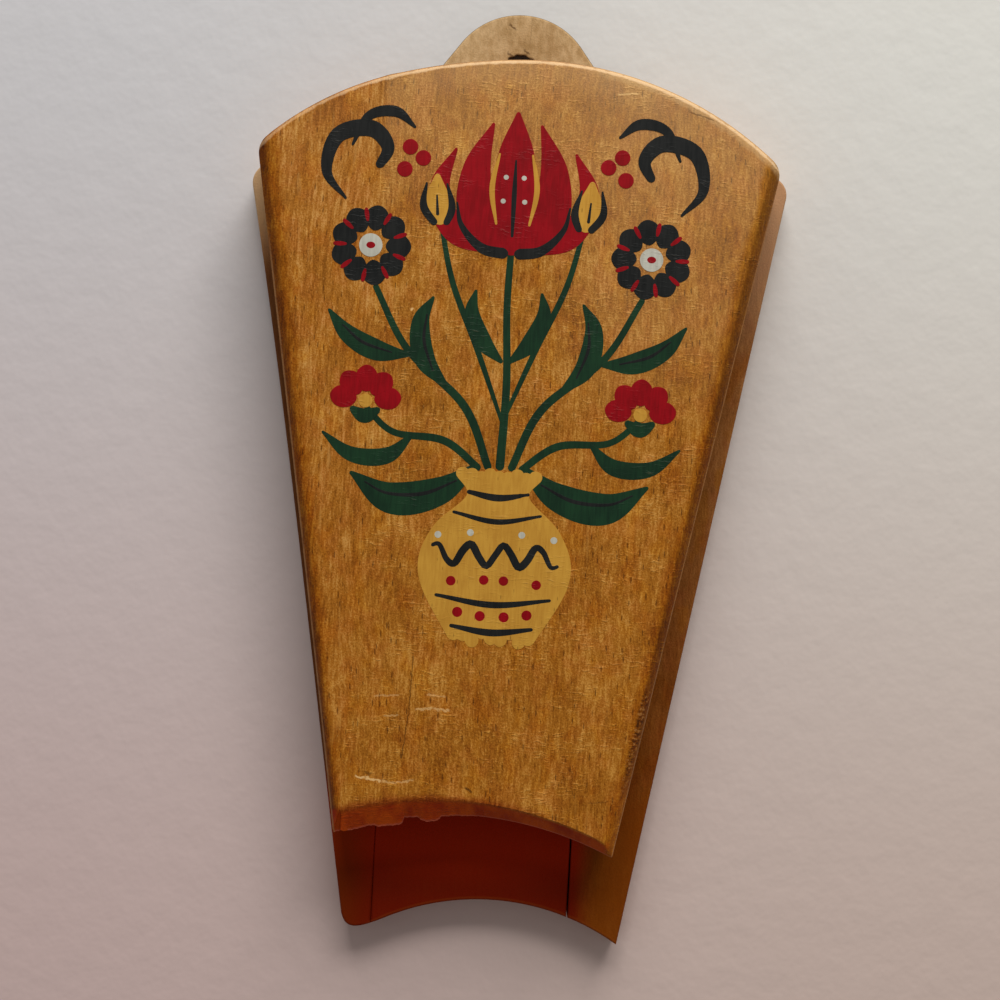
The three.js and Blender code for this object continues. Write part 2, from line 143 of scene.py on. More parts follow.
class Shader:
    """A material and its node tree. Object coordinates are given in millimetres."""

    # How far a spot and its core reach, in cells
    SPOT_REACH = 0.2
    SPOT_CORE = 0.08

    # A cell's chance, a weighted mean of three random numbers, mostly lies between these two
    LOW_CHANCE = 0.25
    HIGH_CHANCE = 0.75
    CHANCE_SOFTNESS = 0.03

    def __init__(self, name):
        self.material = bpy.data.materials.new(name)
        self.material.use_nodes = True
        self.tree = self.material.node_tree
        self.tree.nodes.clear()
        coordinates = self.node("ShaderNodeTexCoord", {}, {}, "Object")
        in_mm = {0: coordinates, "Scale": 1 / MM}
        self.place = self.node("ShaderNodeVectorMath", {"operation": "SCALE"}, in_mm)
        self.x = self.node("ShaderNodeSeparateXYZ", {}, {0: self.place}, "X")
        self.y, self.z = (Value(self, self.x.socket.node.outputs[axis]) for axis in "YZ")

    def node(self, kind, settings, inputs, output=0):
        """Adds a node and returns one of its outputs, if it has any. Its settings come first, where stops are
        a ramp's, and then its inputs."""
        made = self.tree.nodes.new(kind)
        for key, value in settings.items():
            if key == "stops":
                ramp = made.color_ramp
                while len(ramp.elements) < len(value):
                    ramp.elements.new(0.5)
                for element, (position, colour) in zip(ramp.elements, value):
                    element.position = position
                    element.color = colour
            else:
                setattr(made, key, value)
        for key, value in inputs.items():
            if isinstance(value, Value):
                self.tree.links.new(value.socket, made.inputs[key])
            else:
                made.inputs[key].default_value = value
        return Value(self, made.outputs[output]) if made.outputs else None

    def maths(self, operation, *inputs):
        return self.node("ShaderNodeMath", {"operation": operation}, dict(enumerate(inputs)))

    def joined(self, x, y, z):
        """A place from its three coordinates."""
        return self.node("ShaderNodeCombineXYZ", {}, {"X": x, "Y": y, "Z": z}, "Vector")

    def stretched(self, sizes, shift, place):
        """The place divided by a pattern's size along each axis, so that one cell of it has that size."""
        scaled = {0: place or self.place, 1: tuple(1.0 / size for size in sizes), 2: shift}
        return self.node("ShaderNodeVectorMath", {"operation": "MULTIPLY_ADD"}, scaled)

    def noise(self, sizes, shift=(0, 0, 0), detail=2, rough=0.5, place=None):
        inputs = {"Vector": self.stretched(sizes, shift, place), "Scale": 1}
        inputs.update(Detail=detail, Roughness=rough)
        return self.node("ShaderNodeTexNoise", {}, inputs, "Fac")

    def specks(self, sizes, shift, kept, place=None):
        """Scattered soft spots, one at most to a cell of these sizes, in about a share kept of the cells."""
        inputs = {"Vector": self.stretched(sizes, shift, place), "Scale": 1, "Randomness": 1}
        spot = self.node("ShaderNodeTexVoronoi", {}, inputs, "Distance")
        chance = Value(self, spot.socket.node.outputs["Color"])
        limit = self.HIGH_CHANCE - kept * (self.HIGH_CHANCE - self.LOW_CHANCE)
        lucky = chance.smooth(limit, limit + self.CHANCE_SOFTNESS)
        return spot.smooth(self.SPOT_REACH, self.SPOT_CORE) * lucky

    def ramp(self, value, places, colours):
        stops = list(zip(places, map(srgb, colours)))
        return self.node("ShaderNodeValToRGB", {"stops": stops}, {"Fac": value}, "Color")

    def mix(self, share, first, second, blend="MIX"):
        """A mix of two colours. With the blend MULTIPLY the second one tints the first."""
        settings = {"data_type": "RGBA", "blend_type": blend}
        return self.node("ShaderNodeMix", settings, {0: share, 6: srgb(first), 7: srgb(second)}, 2)

    def layers(self, colour, *layers):
        """A colour under layers, the lowest first, each one (share, colour) or (share, tint, "MULTIPLY")."""
        for share, *layer in layers:
            colour = self.mix(share, colour, *layer)
        return colour

    def bump(self, height, distance):
        inputs = {"Height": height, "Distance": distance * MM, "Strength": 1}
        return self.node("ShaderNodeBump", {}, inputs, "Normal")

    def surface(self, **inputs):
        """The finished material with a Principled surface, whose inputs are named with _ for their spaces."""
        named = {key.replace("_", " "): value for key, value in inputs.items()}
        return self.finished(self.node("ShaderNodeBsdfPrincipled", {}, named, "BSDF"))

    def finished(self, shaded):
        """The material, its tree ended in a shaded surface."""
        self.node("ShaderNodeOutputMaterial", {}, {"Surface": shaded})
        return self.material


# Finishes


def relief(s):
    """What stands out of the planed wood, 0 to 1: short wavy ridges torn across the grain, which also show
    through the paint, thicker in some patches than in others."""
    ripple = s.noise((4, 6, 7), (9, 3, 1)) - 0.5
    wavy = s.joined(s.x, s.y, s.z + ripple * 2.2)
    ridges = s.noise((4.4, 6, 0.82), (2, 6, 5), rough=0.6, place=wavy)
    patch = s.noise((16, 20, 9), (6, 3, 1)).smooth(0.44, 0.62)
    return ridges.smooth(0.50, 0.72) * (patch * 0.92 + 0.08)


def beech(name, tones, fleck, figure, streaks, rough, shade=None, rays=1.0, specular=0.12):
    """Beech with upright grain. tones are its dark, middle and light colours, fleck that of its dark rays,
    figure the strength of the ridges across the grain, whose crests are paler, partly worn and partly painted
    light, streaks that of long streaks along it and rays that of the flecks. The function shade(shader,
    colour) adds toner, wear and painted light and shade."""
    s = Shader(name)
    sway = s.noise((36, 60, 80), (3.1, 0.4, 7.7), detail=1) - 0.5
    bent = s.joined(s.x + sway * 9, s.y, s.z)
    clouds = s.noise((12, 16, 18), (1.7, 0, 0.3), detail=3, rough=0.6, place=bent) - 0.5
    lines = s.noise((1.5, 3, 30), (5.1, 2, 1.9), rough=0.6, place=bent) - 0.5
    hairs = s.noise((0.72, 1.2, 3.6), (4.4, 2.6, 0.9), detail=1, place=bent) - 0.5
    grain = s.noise((0.5, 0.8, 0.72), (0.7, 8, 4.1), detail=1, rough=0.8, place=bent) - 0.5
    across = relief(s) * figure
    # across * 0.32 makes the ridges paler: worn crests, and painted light where they catch the light from
    # above.
    tone = clouds * 0.75 + lines * streaks + hairs * 0.8 + grain * 0.9 + across * 0.32 + 0.46
    light = tones[-1]
    rosy = s.noise((7, 9, 9), (8, 5, 6)).smooth(0.44, 0.62)
    golden = s.noise((6, 9, 12), (2, 7, 3)).smooth(0.5, 0.64)
    veins = s.noise((2.2, 3, 24), (3.3, 4, 8.2), place=bent).smooth(0.60, 0.74)
    long_rays = s.specks((1.55, 2, 7.8), (0.3, 0.6, 0.9), 0.85, bent)
    short_rays = s.specks((1.15, 1.6, 3.3), (4.3, 1.6, 2.9), 0.65, bent)
    pale = s.specks((1.3, 2, 2.4), (7.3, 2.6, 1.4), 0.5, bent)
    colour = s.layers(
        s.ramp(tone, (0.12, 0.5, 0.88), tones),
        (rosy * 0.4, (252, 224, 232), "MULTIPLY"),
        (golden * 0.6, (255, 242, 160), "MULTIPLY"),
        (veins * streaks * 0.7, light),
        (short_rays * (0.50 * rays), fleck),
        (long_rays * (0.68 * rays), fleck),
        (pale * (0.45 * rays), light),
    )
    if shade:
        colour = shade(s, colour)
    height = grain * 0.7 + hairs * 0.5 + across * 0.65 - long_rays * (0.4 * rays) - short_rays * (0.2 * rays)
    normal = s.bump(height, 0.22)
    return s.surface(Base_Color=colour, Roughness=rough, Normal=normal, Specular_IOR_Level=specular)


def side_reach(s, board, side):
    """Distance in from a board's bowed side (-1 left, 1 right). A side bends in from its chord by
    3 t (1 - t) ((1 - t) bow 1 + t bow 2), t being the share of the way down it."""
    turn = board["turn"]
    half, taper, (first, second) = board["sides"][side > 0]
    across = (s.x - board["middle"]) * math.cos(turn) - (s.z - LEVEL) * math.sin(turn)
    up = (s.x - board["middle"]) * math.sin(turn) + (s.z - LEVEL) * math.cos(turn)
    straight = (up * math.tan(taper) + half - across * side) * math.cos(taper)
    high, low = (corner(board_side(board, side), board[edge])[1] for edge in ("top", "bottom"))
    gone = (up - high) / (low - high)
    left = 1 - gone
    return straight - gone * left * (left * first + gone * second) * 3


def arc_reach(s, board, edge):
    """Distance in from a board's top or bottom edge: the radius less the distance from the centre, by arc,
    and the other way round at the bottom, where the wood lies outside the arcs."""
    reach = None
    for x, z, radius, start in board[edge]:
        centre_x, centre_z = map(float, to_frame(board, np.array([[x, z]]))[0])
        across = s.x - centre_x
        up = s.z - centre_z
        own = (radius - (across * across + up * up) ** 0.5) * (1.0 if edge == "top" else -1.0)
        if reach is None:
            reach = own
        else:
            reach = reach + (own - reach) * s.maths("LESS_THAN", s.x, centre_x + radius * math.cos(start))
    return reach


def gash(s, start, end, width):
    """A mark along a straight stretch from start to end, 1 on it and 0 beyond its half width."""
    (x0, z0), (x1, z1) = start, end
    length = math.hypot(x1 - x0, z1 - z0)
    along = (s.x - x0) * ((x1 - x0) / length) + (s.z - z0) * ((z1 - z0) / length)
    beside = (s.x - x0) * ((z1 - z0) / length) - (s.z - z0) * ((x1 - x0) / length)
    wander = s.noise((1.5, 1.5, 1.5), (x0, 0, z0)) - 0.5
    past = s.maths("ABSOLUTE", along - length / 2) - length / 2
    off = s.maths("ABSOLUTE", beside + wander * width * 1.6)
    return off.smooth(width * 0.5, width * 0.15) * past.smooth(0.4, -0.8)


# Scratches and chips on the front, as colour, share, width and the places that each one runs through
DARK_WOOD = (64, 34, 6)
BARE_WOOD = (252, 206, 138)
SCRATCHES = (
    (DARK_WOOD, 0.6, 0.6, (-25.0, -203.0), (-25.6, -222.0), (-27.2, -238.0)),
    (BARE_WOOD, 0.8, 1.3, (-42.5, -244.6), (-39.0, -244.9), (-33.5, -245.8)),
    (BARE_WOOD, 0.4, 1.1, (-33.5, -245.8), (-28.9, -246.2), (-22.6, -244.8)),
    (DARK_WOOD, 0.5, 1.6, (-39.5, -243.2), (-36.6, -243.4)),
    (BARE_WOOD, 0.3, 0.9, (-37.5, -217.4), (-29.0, -216.8)),
    (BARE_WOOD, 0.35, 0.9, (-20.0, -216.0), (-13.4, -216.6)),
    (BARE_WOOD, 0.5, 1.1, (-23.5, -221.3), (-17.5, -220.6), (-11.8, -221.1)),
    (BARE_WOOD, 0.35, 0.9, (-34.1, -223.8), (-28.7, -223.6)),
    (DARK_WOOD, 0.7, 1.1, (-5.6, -246.4), (-2.8, -248.0)),
    (BARE_WOOD, 0.9, 1.4, (-32.3, -87.6), (-31.1, -87.4)),
    (BARE_WOOD, 0.6, 0.9, (33.0, -12.4), (40.5, -11.6)),
    (DARK_WOOD, 0.5, 0.7, (57.5, -16.9), (66.0, -19.3)),
    (DARK_WOOD, 0.35, 0.7, (36.0, -249.5), (43.0, -248.6)),
)

# Heights between which the front's upper part and the part clear of its lower right corner fade in
UPPER_PART = (-110, -70)
CLEAR_OF_FOOT = (-250, -236)


def scratched(s, colour):
    """The scratches and chips of use."""
    for tint, share, width, *route in SCRATCHES:
        marks = sum(gash(s, start, end, width) for start, end in zip(route, route[1:]))
        colour = s.mix(marks.smooth(0, 1) * share, colour, tint)
    return colour


def toned(s, colour, reach, wander):
    """A front painted paler towards the top and upper right and darker and yellower towards the bottom,
    painted light falling off downwards, over the staves' own difference in tone; and amber toner in narrow
    bands down the sides, deeper along the arrises.
    """
    left, right = reach["left"], reach["right"]
    # Painted shade: darker and yellower towards the bottom, where the light falls off.
    colour = s.mix(s.z.smooth(-70, -250) * 0.5, colour, (255, 242, 190), "MULTIPLY")
    # Painted light: paler towards the top, along the top edge and at the upper right, where more light falls,
    # over the staves' own difference in tone at the joint.
    crown = s.z.smooth(-75, -4) * (s.x.smooth(FRONT_JOINT - 1, FRONT_JOINT + 2) * 0.28 + 0.08)
    rim = reach["top"].smooth(14, 2) * s.z.smooth(*UPPER_PART)
    crown = crown + rim * s.x.smooth(-50, -15) * s.x.smooth(62, 30) * 0.3
    crown = crown + s.z.smooth(-130, -75) * s.x.smooth(5, 45) * 0.2
    colour = s.mix(crown * 0.5, colour, (224, 188, 138))
    amber = s.mix(1, colour, (228, 204, 96), "MULTIPLY")
    deep = s.mix(1, colour, (172, 148, 72), "MULTIPLY")
    height = (s.z + 262) / 250
    near_left = (left + wander * 7 - height * 4.2).smooth(5, 2)
    at_left = (left + wander * 2 - height * 1.4).smooth(2.8, 0.8)
    top_left = (left + wander * 2).smooth(3.2, 1.6) * s.z.smooth(-62, -30)
    near_right = (right + wander * 4 - height * 1.2).smooth(6.5, 3.6)
    at_right = (right + wander * 0.8 - height * 0.9).smooth(3.6, 2.2) * s.z.smooth(*CLEAR_OF_FOOT)
    return s.layers(
        colour,
        (near_left * 0.85, amber),
        (at_left * 0.9, deep),
        (top_left * 0.7, (200, 170, 90), "MULTIPLY"),
        (near_right * 0.85, amber),
        (at_right * 0.9, deep),
    )


def tool_marks(s, colour, right):
    """A short row of dark and pale ticks that a tool left beside the lower right arris."""
    ticks = s.noise((1.3, 2, 0.95), (3, 1, 2), detail=1)
    row = right.smooth(0.6, 1.2) * right.smooth(4.2, 2.8)
    row = row * s.z.smooth(-206, -216) * s.z.smooth(*CLEAR_OF_FOOT)
    return s.layers(
        colour,
        (row * ticks.smooth(0.56, 0.61) * 0.7, (60, 30, 6)),
        (row * ticks.smooth(0.42, 0.37) * 0.6, (190, 132, 70)),
    )


def lower_edge(s, colour, reach, wander):
    """A toned band above the lower edge, its red-brown chamfer, and a painted highlight as a paler line along
    the chamfer's rear.
    """
    bottom = reach["bottom"]
    slope = (CHAMFER["right"] - CHAMFER["left"]) / (2 * FRONT_LOW_HALF)
    above = bottom - s.x * slope - (CHAMFER["left"] + CHAMFER["right"]) / 2
    band = (above + wander * 1.6).smooth(2.6, -0.4) * s.x.smooth(42, 0)
    chamfer = s.y.smooth(FRONT_FACE - 0.1, FRONT_FACE + 1) * above.smooth(1, -0.4)
    # Painted highlight: the paler pinkish line along the chamfer's rear arris.
    lip = s.y.smooth(FRONT_FACE + 3.2, FRONT_FACE + 3.6) * s.y.smooth(FRONT_FACE + 4.4, FRONT_FACE + 3.9)
    return s.layers(
        colour,
        (band * 0.8, (196, 128, 60), "MULTIPLY"),
        (chamfer * reach["right"].smooth(1, 4) * 0.95,
         s.mix(wander.smooth(-0.2, 0.2), (148, 38, 2), (180, 70, 4))),
        (lip * bottom.smooth(6, 4) * 0.4, (190, 110, 96)),
    )


def worn_arrises(s, colour, reach):
    """The rolled top edge with its pale, chipped crest and a scuffed stretch, and thin worn lines down the
    sides."""
    top = reach["top"]
    upper = s.z.smooth(*UPPER_PART)
    worn = s.noise((3, 3, 5), (1, 9, 6))
    scuffed = (top + (worn - 0.5) * 3).smooth(3.8, 2.2) * s.x.smooth(18, 34) * upper
    crest = (top + (worn - 0.5) * 1.6).smooth(1.8, 1.2) * top.smooth(0.3, 0.6) * upper
    dull = crest * worn.smooth(0.50, 0.60) * top.smooth(0.9, 0.6)
    thin = (worn.smooth(0.3, 0.5) * 0.3 + 0.3) * s.y.smooth(FRONT_FACE + 5, FRONT_FACE + 3.8)
    return s.layers(
        colour,
        (top.smooth(0.35, 0) * upper * 0.75, (122, 90, 68)),
        (scuffed * 0.4, (230, 190, 134)),
        (crest * (s.x.smooth(-80, -20) * 0.5 + 0.35), (238, 200, 152)),
        (dull * 0.6, (150, 112, 80)),
        (reach["left"].smooth(0.75, 0.45) * s.z.smooth(-55, -80) * thin, (172, 128, 84)),
        (reach["right"].smooth(0.5, 0.25) * s.z.smooth(-28, -60) * thin, (184, 130, 76)),
    )


def front_shade(s, colour):
    """The front board's toner, painted light and shade, tool marks, lower edge with its painted highlight,
    wear and scratches.
    """
    reach = {name: side_reach(s, FRONT, side) for name, side in (("left", -1), ("right", 1))}
    reach.update({edge: arc_reach(s, FRONT, edge) for edge in ("top", "bottom")})
    wander = s.noise((5, 10, 9), (2, 2, 2)) - 0.5
    colour = toned(s, colour, reach, wander)
    colour = tool_marks(s, colour, reach["right"])
    colour = lower_edge(s, colour, reach, wander)
    colour = worn_arrises(s, colour, reach)
    return scratched(s, colour)


def back_shade(s, colour):
    """Smooth brown wood beside the front board; below it a red stain, painted darker and redder as the shade
    and bounced light of the recess, and painted lighter just under the board's edge against its shadow;
    painted shade down the lower left strip and towards the bottom; and pale dry wood at the top, painted paler
    at the upper left against the board's shadow, and on the tab, with chips and a split beside the nail hole.
    The rear face is plain."""
    side = s.noise((2.2, 4, 46), (1, 6, 2), rough=0.6).smooth(0.35, 0.65)
    # Painted shade: darker brown down the lower left strip, in the front board's shadow.
    painted_shade_left = s.x.smooth(-40, -50) * s.z.smooth(-60, -80)
    low = s.z.smooth(-238, -262)
    recess = s.x.smooth(44, 33)
    browner = s.x.smooth(-34, -50)
    # The recess under the front board: a red stain, painted darker and redder still as the recess's shade and
    # the light bounced in it.
    stain = s.mix(browner, (116, 19, 0), (114, 38, 0))
    # Painted light: lighter stain just under the front board's edge, against the shadow that the board casts
    # there.
    painted_light_stain = s.mix(browner, (176, 36, 2), (146, 42, 2))
    stain = s.mix(s.z.smooth(-287, -270) * 0.85, stain, painted_light_stain)
    # Pale dry wood at the upper left, painted paler still as painted light against the front board's shadow.
    pale = s.z.smooth(-77, -47) * s.x.smooth(0, -40)
    right_side = s.z.smooth(-104, -42) * s.x.smooth(30, 60)
    tab = s.z.smooth(-16, -4)
    mottle = s.noise((3, 4, 5), (6, 1, 4), detail=3, rough=0.6).smooth(0.35, 0.65)
    core = s.x.smooth(-10, 0) * s.x.smooth(17, 6) * s.z.smooth(19, 11) * tab
    rim = s.y.smooth(BACK_FACE + 0.1, BACK_FACE + 0.4)
    arris = arc_reach(s, BACK, "bottom").smooth(1.5, 0.9)
    chips = gash(s, (-4.8, 5.6), (-2.2, 3.6), 1.3) + gash(s, (0.9, 6.9), (3.2, 5.0), 1.2)
    chips = chips + gash(s, (-4.6, 15.6), (-2.0, 13.4), 1.0)
    return s.layers(
        colour,
        (side * 0.35, (226, 196, 150), "MULTIPLY"),
        # Painted shade: darker and yellower towards the bottom, where the light falls off.
        (s.z.smooth(-110, -245) * 0.8, (228, 190, 92), "MULTIPLY"),
        (painted_shade_left * 0.7, (92, 54, 32)),
        (low * recess * 0.95, stain),
        (low * (1 - recess) * 0.75, (128, 60, 2)),
        (pale * 0.75, (214, 178, 134)),
        (right_side * 0.75, (204, 158, 118)),
        (tab * 0.75, s.mix(mottle, (190, 158, 110), (222, 190, 142))),
        (core * 0.4, (214, 200, 176), "MULTIPLY"),
        (rim * tab * 0.9, (84, 68, 50)),
        (arris * low * 0.25, (150, 70, 20)),
        (chips * 0.7, (88, 58, 30)),
        (gash(s, (3.4, 17.6), (3.0, 8.0), 0.35) * 0.35, (120, 84, 50)),
        (s.y.smooth(-1.2, -0.2), colour),
    )


def steel(name):
    """Dull zinced steel with faint turning marks."""
    s = Shader(name)
    marks = s.noise((0.8, 0.12, 0.8), detail=3, rough=0.6)
    stain = s.noise((3, 3, 3), (2, 1, 0)).smooth(0.45, 0.75)
    colour = s.mix(stain * 0.5, (176, 172, 164), (120, 108, 92))
    return s.surface(Base_Color=colour, Metallic=1 - stain * 0.4, Roughness=marks * 0.3 + 0.28,
                     Normal=s.bump(marks, 0.03))


def enamel(name, colour, deep, thin):
    """Hand-brushed enamel over the wood's ridges, with brush marks, and paler ridge crests that are partly
    small scuffs and partly painted sheen. Where thin is above 0, the dark rays of the wood show through."""
    s = Shader(name)
    brush = s.noise((1, 2, 8), (3, 1, 6), rough=0.6)
    cloud = s.noise((9, 9, 11), (1, 4, 2))
    rays = s.specks((1.25, 1.6, 5.6), (0.3, 0.6, 0.9), 0.55)
    ridges = relief(s)
    body = s.layers(
        s.mix((brush * 0.5 + cloud * 0.5).smooth(0.34, 0.66), deep, colour),
        (rays * thin, (70, 38, 14)),
        # Paler ridge crests: partly scuffs, partly painted sheen where the ridges catch the light.
        (ridges.smooth(0.6, 1) * 0.08, (170, 150, 120)),
    )
    height = brush * 0.15 + ridges * 0.5 - rays * 0.3
    return s.surface(Base_Color=body, Roughness=0.45, Specular_IOR_Level=0.16, Normal=s.bump(height, 0.14))


# Meshes


def make_object(name, points, faces, material):
    """A mesh object from points in millimetres and a list of faces."""
    mesh = bpy.data.meshes.new(name)
    mesh.from_pydata((points * MM).tolist(), [], faces)
    mesh.materials.append(material)
    made = bpy.data.objects.new(name, mesh)
    bpy.context.scene.collection.objects.link(made)
    return made


def make_piece(name, points, quads, triangles, material, sharp=35.0):
    """A piece of the holder, shaded smooth but for edges sharper than an angle in degrees."""
    piece = make_object(name, points, [*quads.tolist(), *triangles.tolist()], material)
    piece.data.shade_smooth()
    piece.data.validate()
    piece.data.set_sharp_from_angle(angle=math.radians(sharp))
    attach(piece, "root")
    return piece


def at_depth(flat, y):
    """Points (x, z) as points of the model at a depth y, one for all of them or one for each."""
    return np.stack([flat[..., 0], np.broadcast_to(y, flat.shape[:-1]), flat[..., 1]], -1)


def flat_face(points, rings, outwards):
    """Triangles across closed rings of points, an outline and its holes. They look to the rear where outwards
    is 1 and to the front where it is -1."""
    order = np.concatenate(rings)
    flat = [[Vector((points[i, 0], points[i, 2], 0)) for i in ring] for ring in rings]
    faces = order[np.array(tessellate_polygon(flat))]
    a, b, c = (points[faces[:, k]] for k in range(3))
    area = np.cross(b - a, c - a)[:, 1].sum()
    return faces if area * outwards > 0 else faces[:, ::-1]


def ring_quads(rings, count, first=0):
    """Quads between closed rings of points, each ring after the other, where a ring runs anticlockwise seen
    from the side that the last ring lies on."""
    ring, step = np.meshgrid(np.arange(rings - 1), np.arange(count), indexing="ij")
    after = (step + 1) % count
    low = first + ring * count
    return np.stack([low + step, low + after, low + count + after, low + count + step], -1).reshape(-1, 4)


def board_side(board, side):
    """A side (-1 left, 1 right) of a board as the line x = start + slope * z."""
    half, taper, _ = board["sides"][side > 0]
    return side * half, side * math.tan(taper)


def edge_height(arcs, x, out=0.0):
    """Height at x of an edge that runs along the upper parts of a chain of arcs, moved outwards by out."""
    height = None
    for centre_x, centre_z, radius, start in arcs:
        own = centre_z + np.sqrt((radius + out) ** 2 - (x - centre_x) ** 2)
        turns = centre_x + (radius + out) * math.cos(start)
        height = own if height is None else np.where(x < turns, own, height)
    return height


MEETING_STEPS = 30


def corner(line, arcs, out=0.0):
    """Where the line x = start + slope * z meets an edge, found by going back and forth between the two."""
    start, slope = line
    x = start
    for _ in range(MEETING_STEPS):
        x = start + slope * float(edge_height(arcs, x, out))
    return np.array([x, float(edge_height(arcs, x, out))])


def to_frame(board, points):
    """Points of a board's own frame, in the frame of the model: turned, then moved."""
    turn = board["turn"]
    x = points[:, 0] * math.cos(turn) + points[:, 1] * math.sin(turn) + board["middle"]
    z = points[:, 1] * math.cos(turn) - points[:, 0] * math.sin(turn) + LEVEL
    return np.stack([x, z], -1)


def handle_curve(handles, count):
    """A curve drawn by n + 1 handles: the sum of C(n, k) (1 - t) ** (n - k) t ** k * handle k."""
    handles = np.asarray(handles, float)
    n = len(handles) - 1
    t = np.linspace(0, 1, count)[:, None]
    return sum(math.comb(n, k) * (1 - t) ** (n - k) * t ** k * handle for k, handle in enumerate(handles))


def bowed_side(start, end, bows, count):
    """Points from start to end on a cubic curve, whose handles, a third and two thirds of the way along, lie
    this far to the left of the straight line."""
    run = end - start
    inwards = np.array([-run[1], run[0]]) / np.hypot(*run)
    handles = [start + run * (k + 1) / 3 + inwards * bow for k, bow in enumerate(bows)]
    return handle_curve([start, *handles, end], count)


def round_corner(before, after, cut):
    """Bends the end of one side and the start of the next onto a parabola that touches both, cut from where
    they meet."""
    if cut <= 0:
        return
    apex = after[0].copy()
    touch_back = towards(apex, before[-3], cut)
    touch_ahead = towards(apex, after[2], cut)
    for side, sign in ((before, -1), (after, 1)):
        distance = np.hypot(*(side - apex).T)
        near = distance < cut
        t = (0.5 + sign * 0.5 * distance[near] / cut)[:, None]
        side[near] = (1 - t) ** 2 * touch_back + 2 * t * (1 - t) * apex + t ** 2 * touch_ahead


# Edges of the front board: how wide its rolled sides are at the top and the bottom, how deep they reach, how
# they curve, and how far their corners are cut round. The same for a joint, the top and the lower chamfer
LEFT_ROLL = {"top": 7.4, "bottom": 3.2, "depth": 3.2, "power": 2.0, "cuts": {"top": 4.0, "bottom": 1.2}}
RIGHT_ROLL = {"top": 5.5, "bottom": 4.4, "depth": 3.6, "power": 2.0, "cuts": {"top": 4.0, "bottom": 0.6}}
JOINT_EASE = {"top": 0.04, "bottom": 0.04, "depth": 0.04, "power": 1.0, "cuts": {"top": 0.0, "bottom": 0.0}}
TOP_ROLL = {"width": 1.8, "depth": 1.3, "power": 2.2}
CHAMFER = {"left": 6.4, "right": 3.8, "depth": 3.6, "power": 1.0}
FRONT_LOW_HALF = 48.0
REAR_EASE = {"depth": 0.5, "share": 0.06}
INNER_CUTS = 0.6

# How many points each way a change is spread over at a corner: of the edge's profile, and of the torn edge
PROFILE_SPREAD = 4
TORN_SPREAD = 2

# Shares of the way from the outer to the inner end of a rolled edge where it has a ring of points
ROLL_STEPS = (0.92, 0.8, 0.65, 0.5, 0.35, 0.2, 0.08, 0.0)


def front_side(side, joint):
    """An upright side of a front stave: the board's own left or right side (-1, 1), or its joint at an x."""
    if joint is None:
        roll = LEFT_ROLL if side < 0 else RIGHT_ROLL
        line, bows, foot = board_side(FRONT, side), FRONT["sides"][side > 0][2], side * FRONT_LOW_HALF
    else:
        roll, line, bows, foot = JOINT_EASE, (joint, 0.0), (0.0, 0.0), joint
    chamfer = np.interp(foot, (-FRONT_LOW_HALF, FRONT_LOW_HALF), (CHAMFER["left"], CHAMFER["right"]))
    return {**roll, "side": side, "line": line, "bows": bows, "chamfer": chamfer}


def stave_sides(left, right, inwards, counts):
    """The four sides of a front stave, each as points: bottom, right, top and left, running anticlockwise.
    They follow its outline where inwards is 0, and the inner ends of its rolled edges where it is 1."""
    across, up = counts
    low_out = [inwards * side["chamfer"] for side in (left, right)]
    high_out = -inwards * TOP_ROLL["width"]

    def meet(side, edge, out):
        """Where one of the two upright sides meets the top or bottom edge."""
        start, slope = side["line"]
        moved = start - side["side"] * inwards * side[edge] * math.hypot(1, slope)
        return corner((moved, slope), FRONT[edge], out)

    low_left, low_right = (meet(side, "bottom", out) for side, out in zip((left, right), low_out))
    high_left, high_right = (meet(side, "top", high_out) for side in (left, right))
    low_x = np.linspace(low_left[0], low_right[0], across)
    high_x = np.linspace(high_right[0], high_left[0], across)
    sides = [
        np.stack([low_x, edge_height(FRONT["bottom"], low_x, np.linspace(*low_out, across))], -1),
        bowed_side(low_right, high_right, right["bows"][::-1], up),
        np.stack([high_x, edge_height(FRONT["top"], high_x, high_out)], -1),
        bowed_side(high_left, low_left, left["bows"], up),
    ]
    ends = ((left, "bottom"), (right, "bottom"), (right, "top"), (left, "top"))
    for k, (side, edge) in enumerate(ends):
        round_corner(sides[k - 1], sides[k], side["cuts"][edge] * (INNER_CUTS if inwards else 1))
    return sides


def loop_of(sides):
    """One closed loop from the four sides, without their shared ends."""
    return np.concatenate([side[:-1] for side in sides])


def filled(sides):
    """The patch between four sides: the blends of both pairs of facing sides, added, less the blend of the
    four corners."""
    bottom, right, top, left = sides[0], sides[1], sides[2][::-1], sides[3][::-1]
    u = np.linspace(0, 1, len(bottom))[None, :, None]
    v = np.linspace(0, 1, len(right))[:, None, None]
    ruled = (1 - v) * bottom[None] + v * top[None] + (1 - u) * left[:, None] + u * right[:, None]
    corners = ((1 - u) * (1 - v) * bottom[0] + u * (1 - v) * bottom[-1]
               + (1 - u) * v * top[0] + u * v * top[-1])
    return ruled - corners


# The planed front face: the height of its waves, and the place, size and depth of a hollow low down
WAVE_HEIGHT = 0.07
HOLLOW = {"middle": (-8.0, -232.0), "reach": (34.0, 16.0), "depth": 0.22}


def unevenness(x, z):
    """How far the front face stands out at a place: slow waves, less the hollow, which is a bell curve."""
    waves = np.sin(x / 23.0 + 0.7) * np.sin(z / 31.0 + 1.9) + 0.6 * np.sin(x / 11.0 - z / 37.0)
    (middle_x, middle_z), (wide, tall) = HOLLOW["middle"], HOLLOW["reach"]
    bell = np.exp(-((x - middle_x) / wide) ** 2 - ((z - middle_z) / tall) ** 2)
    return WAVE_HEIGHT * waves - HOLLOW["depth"] * bell


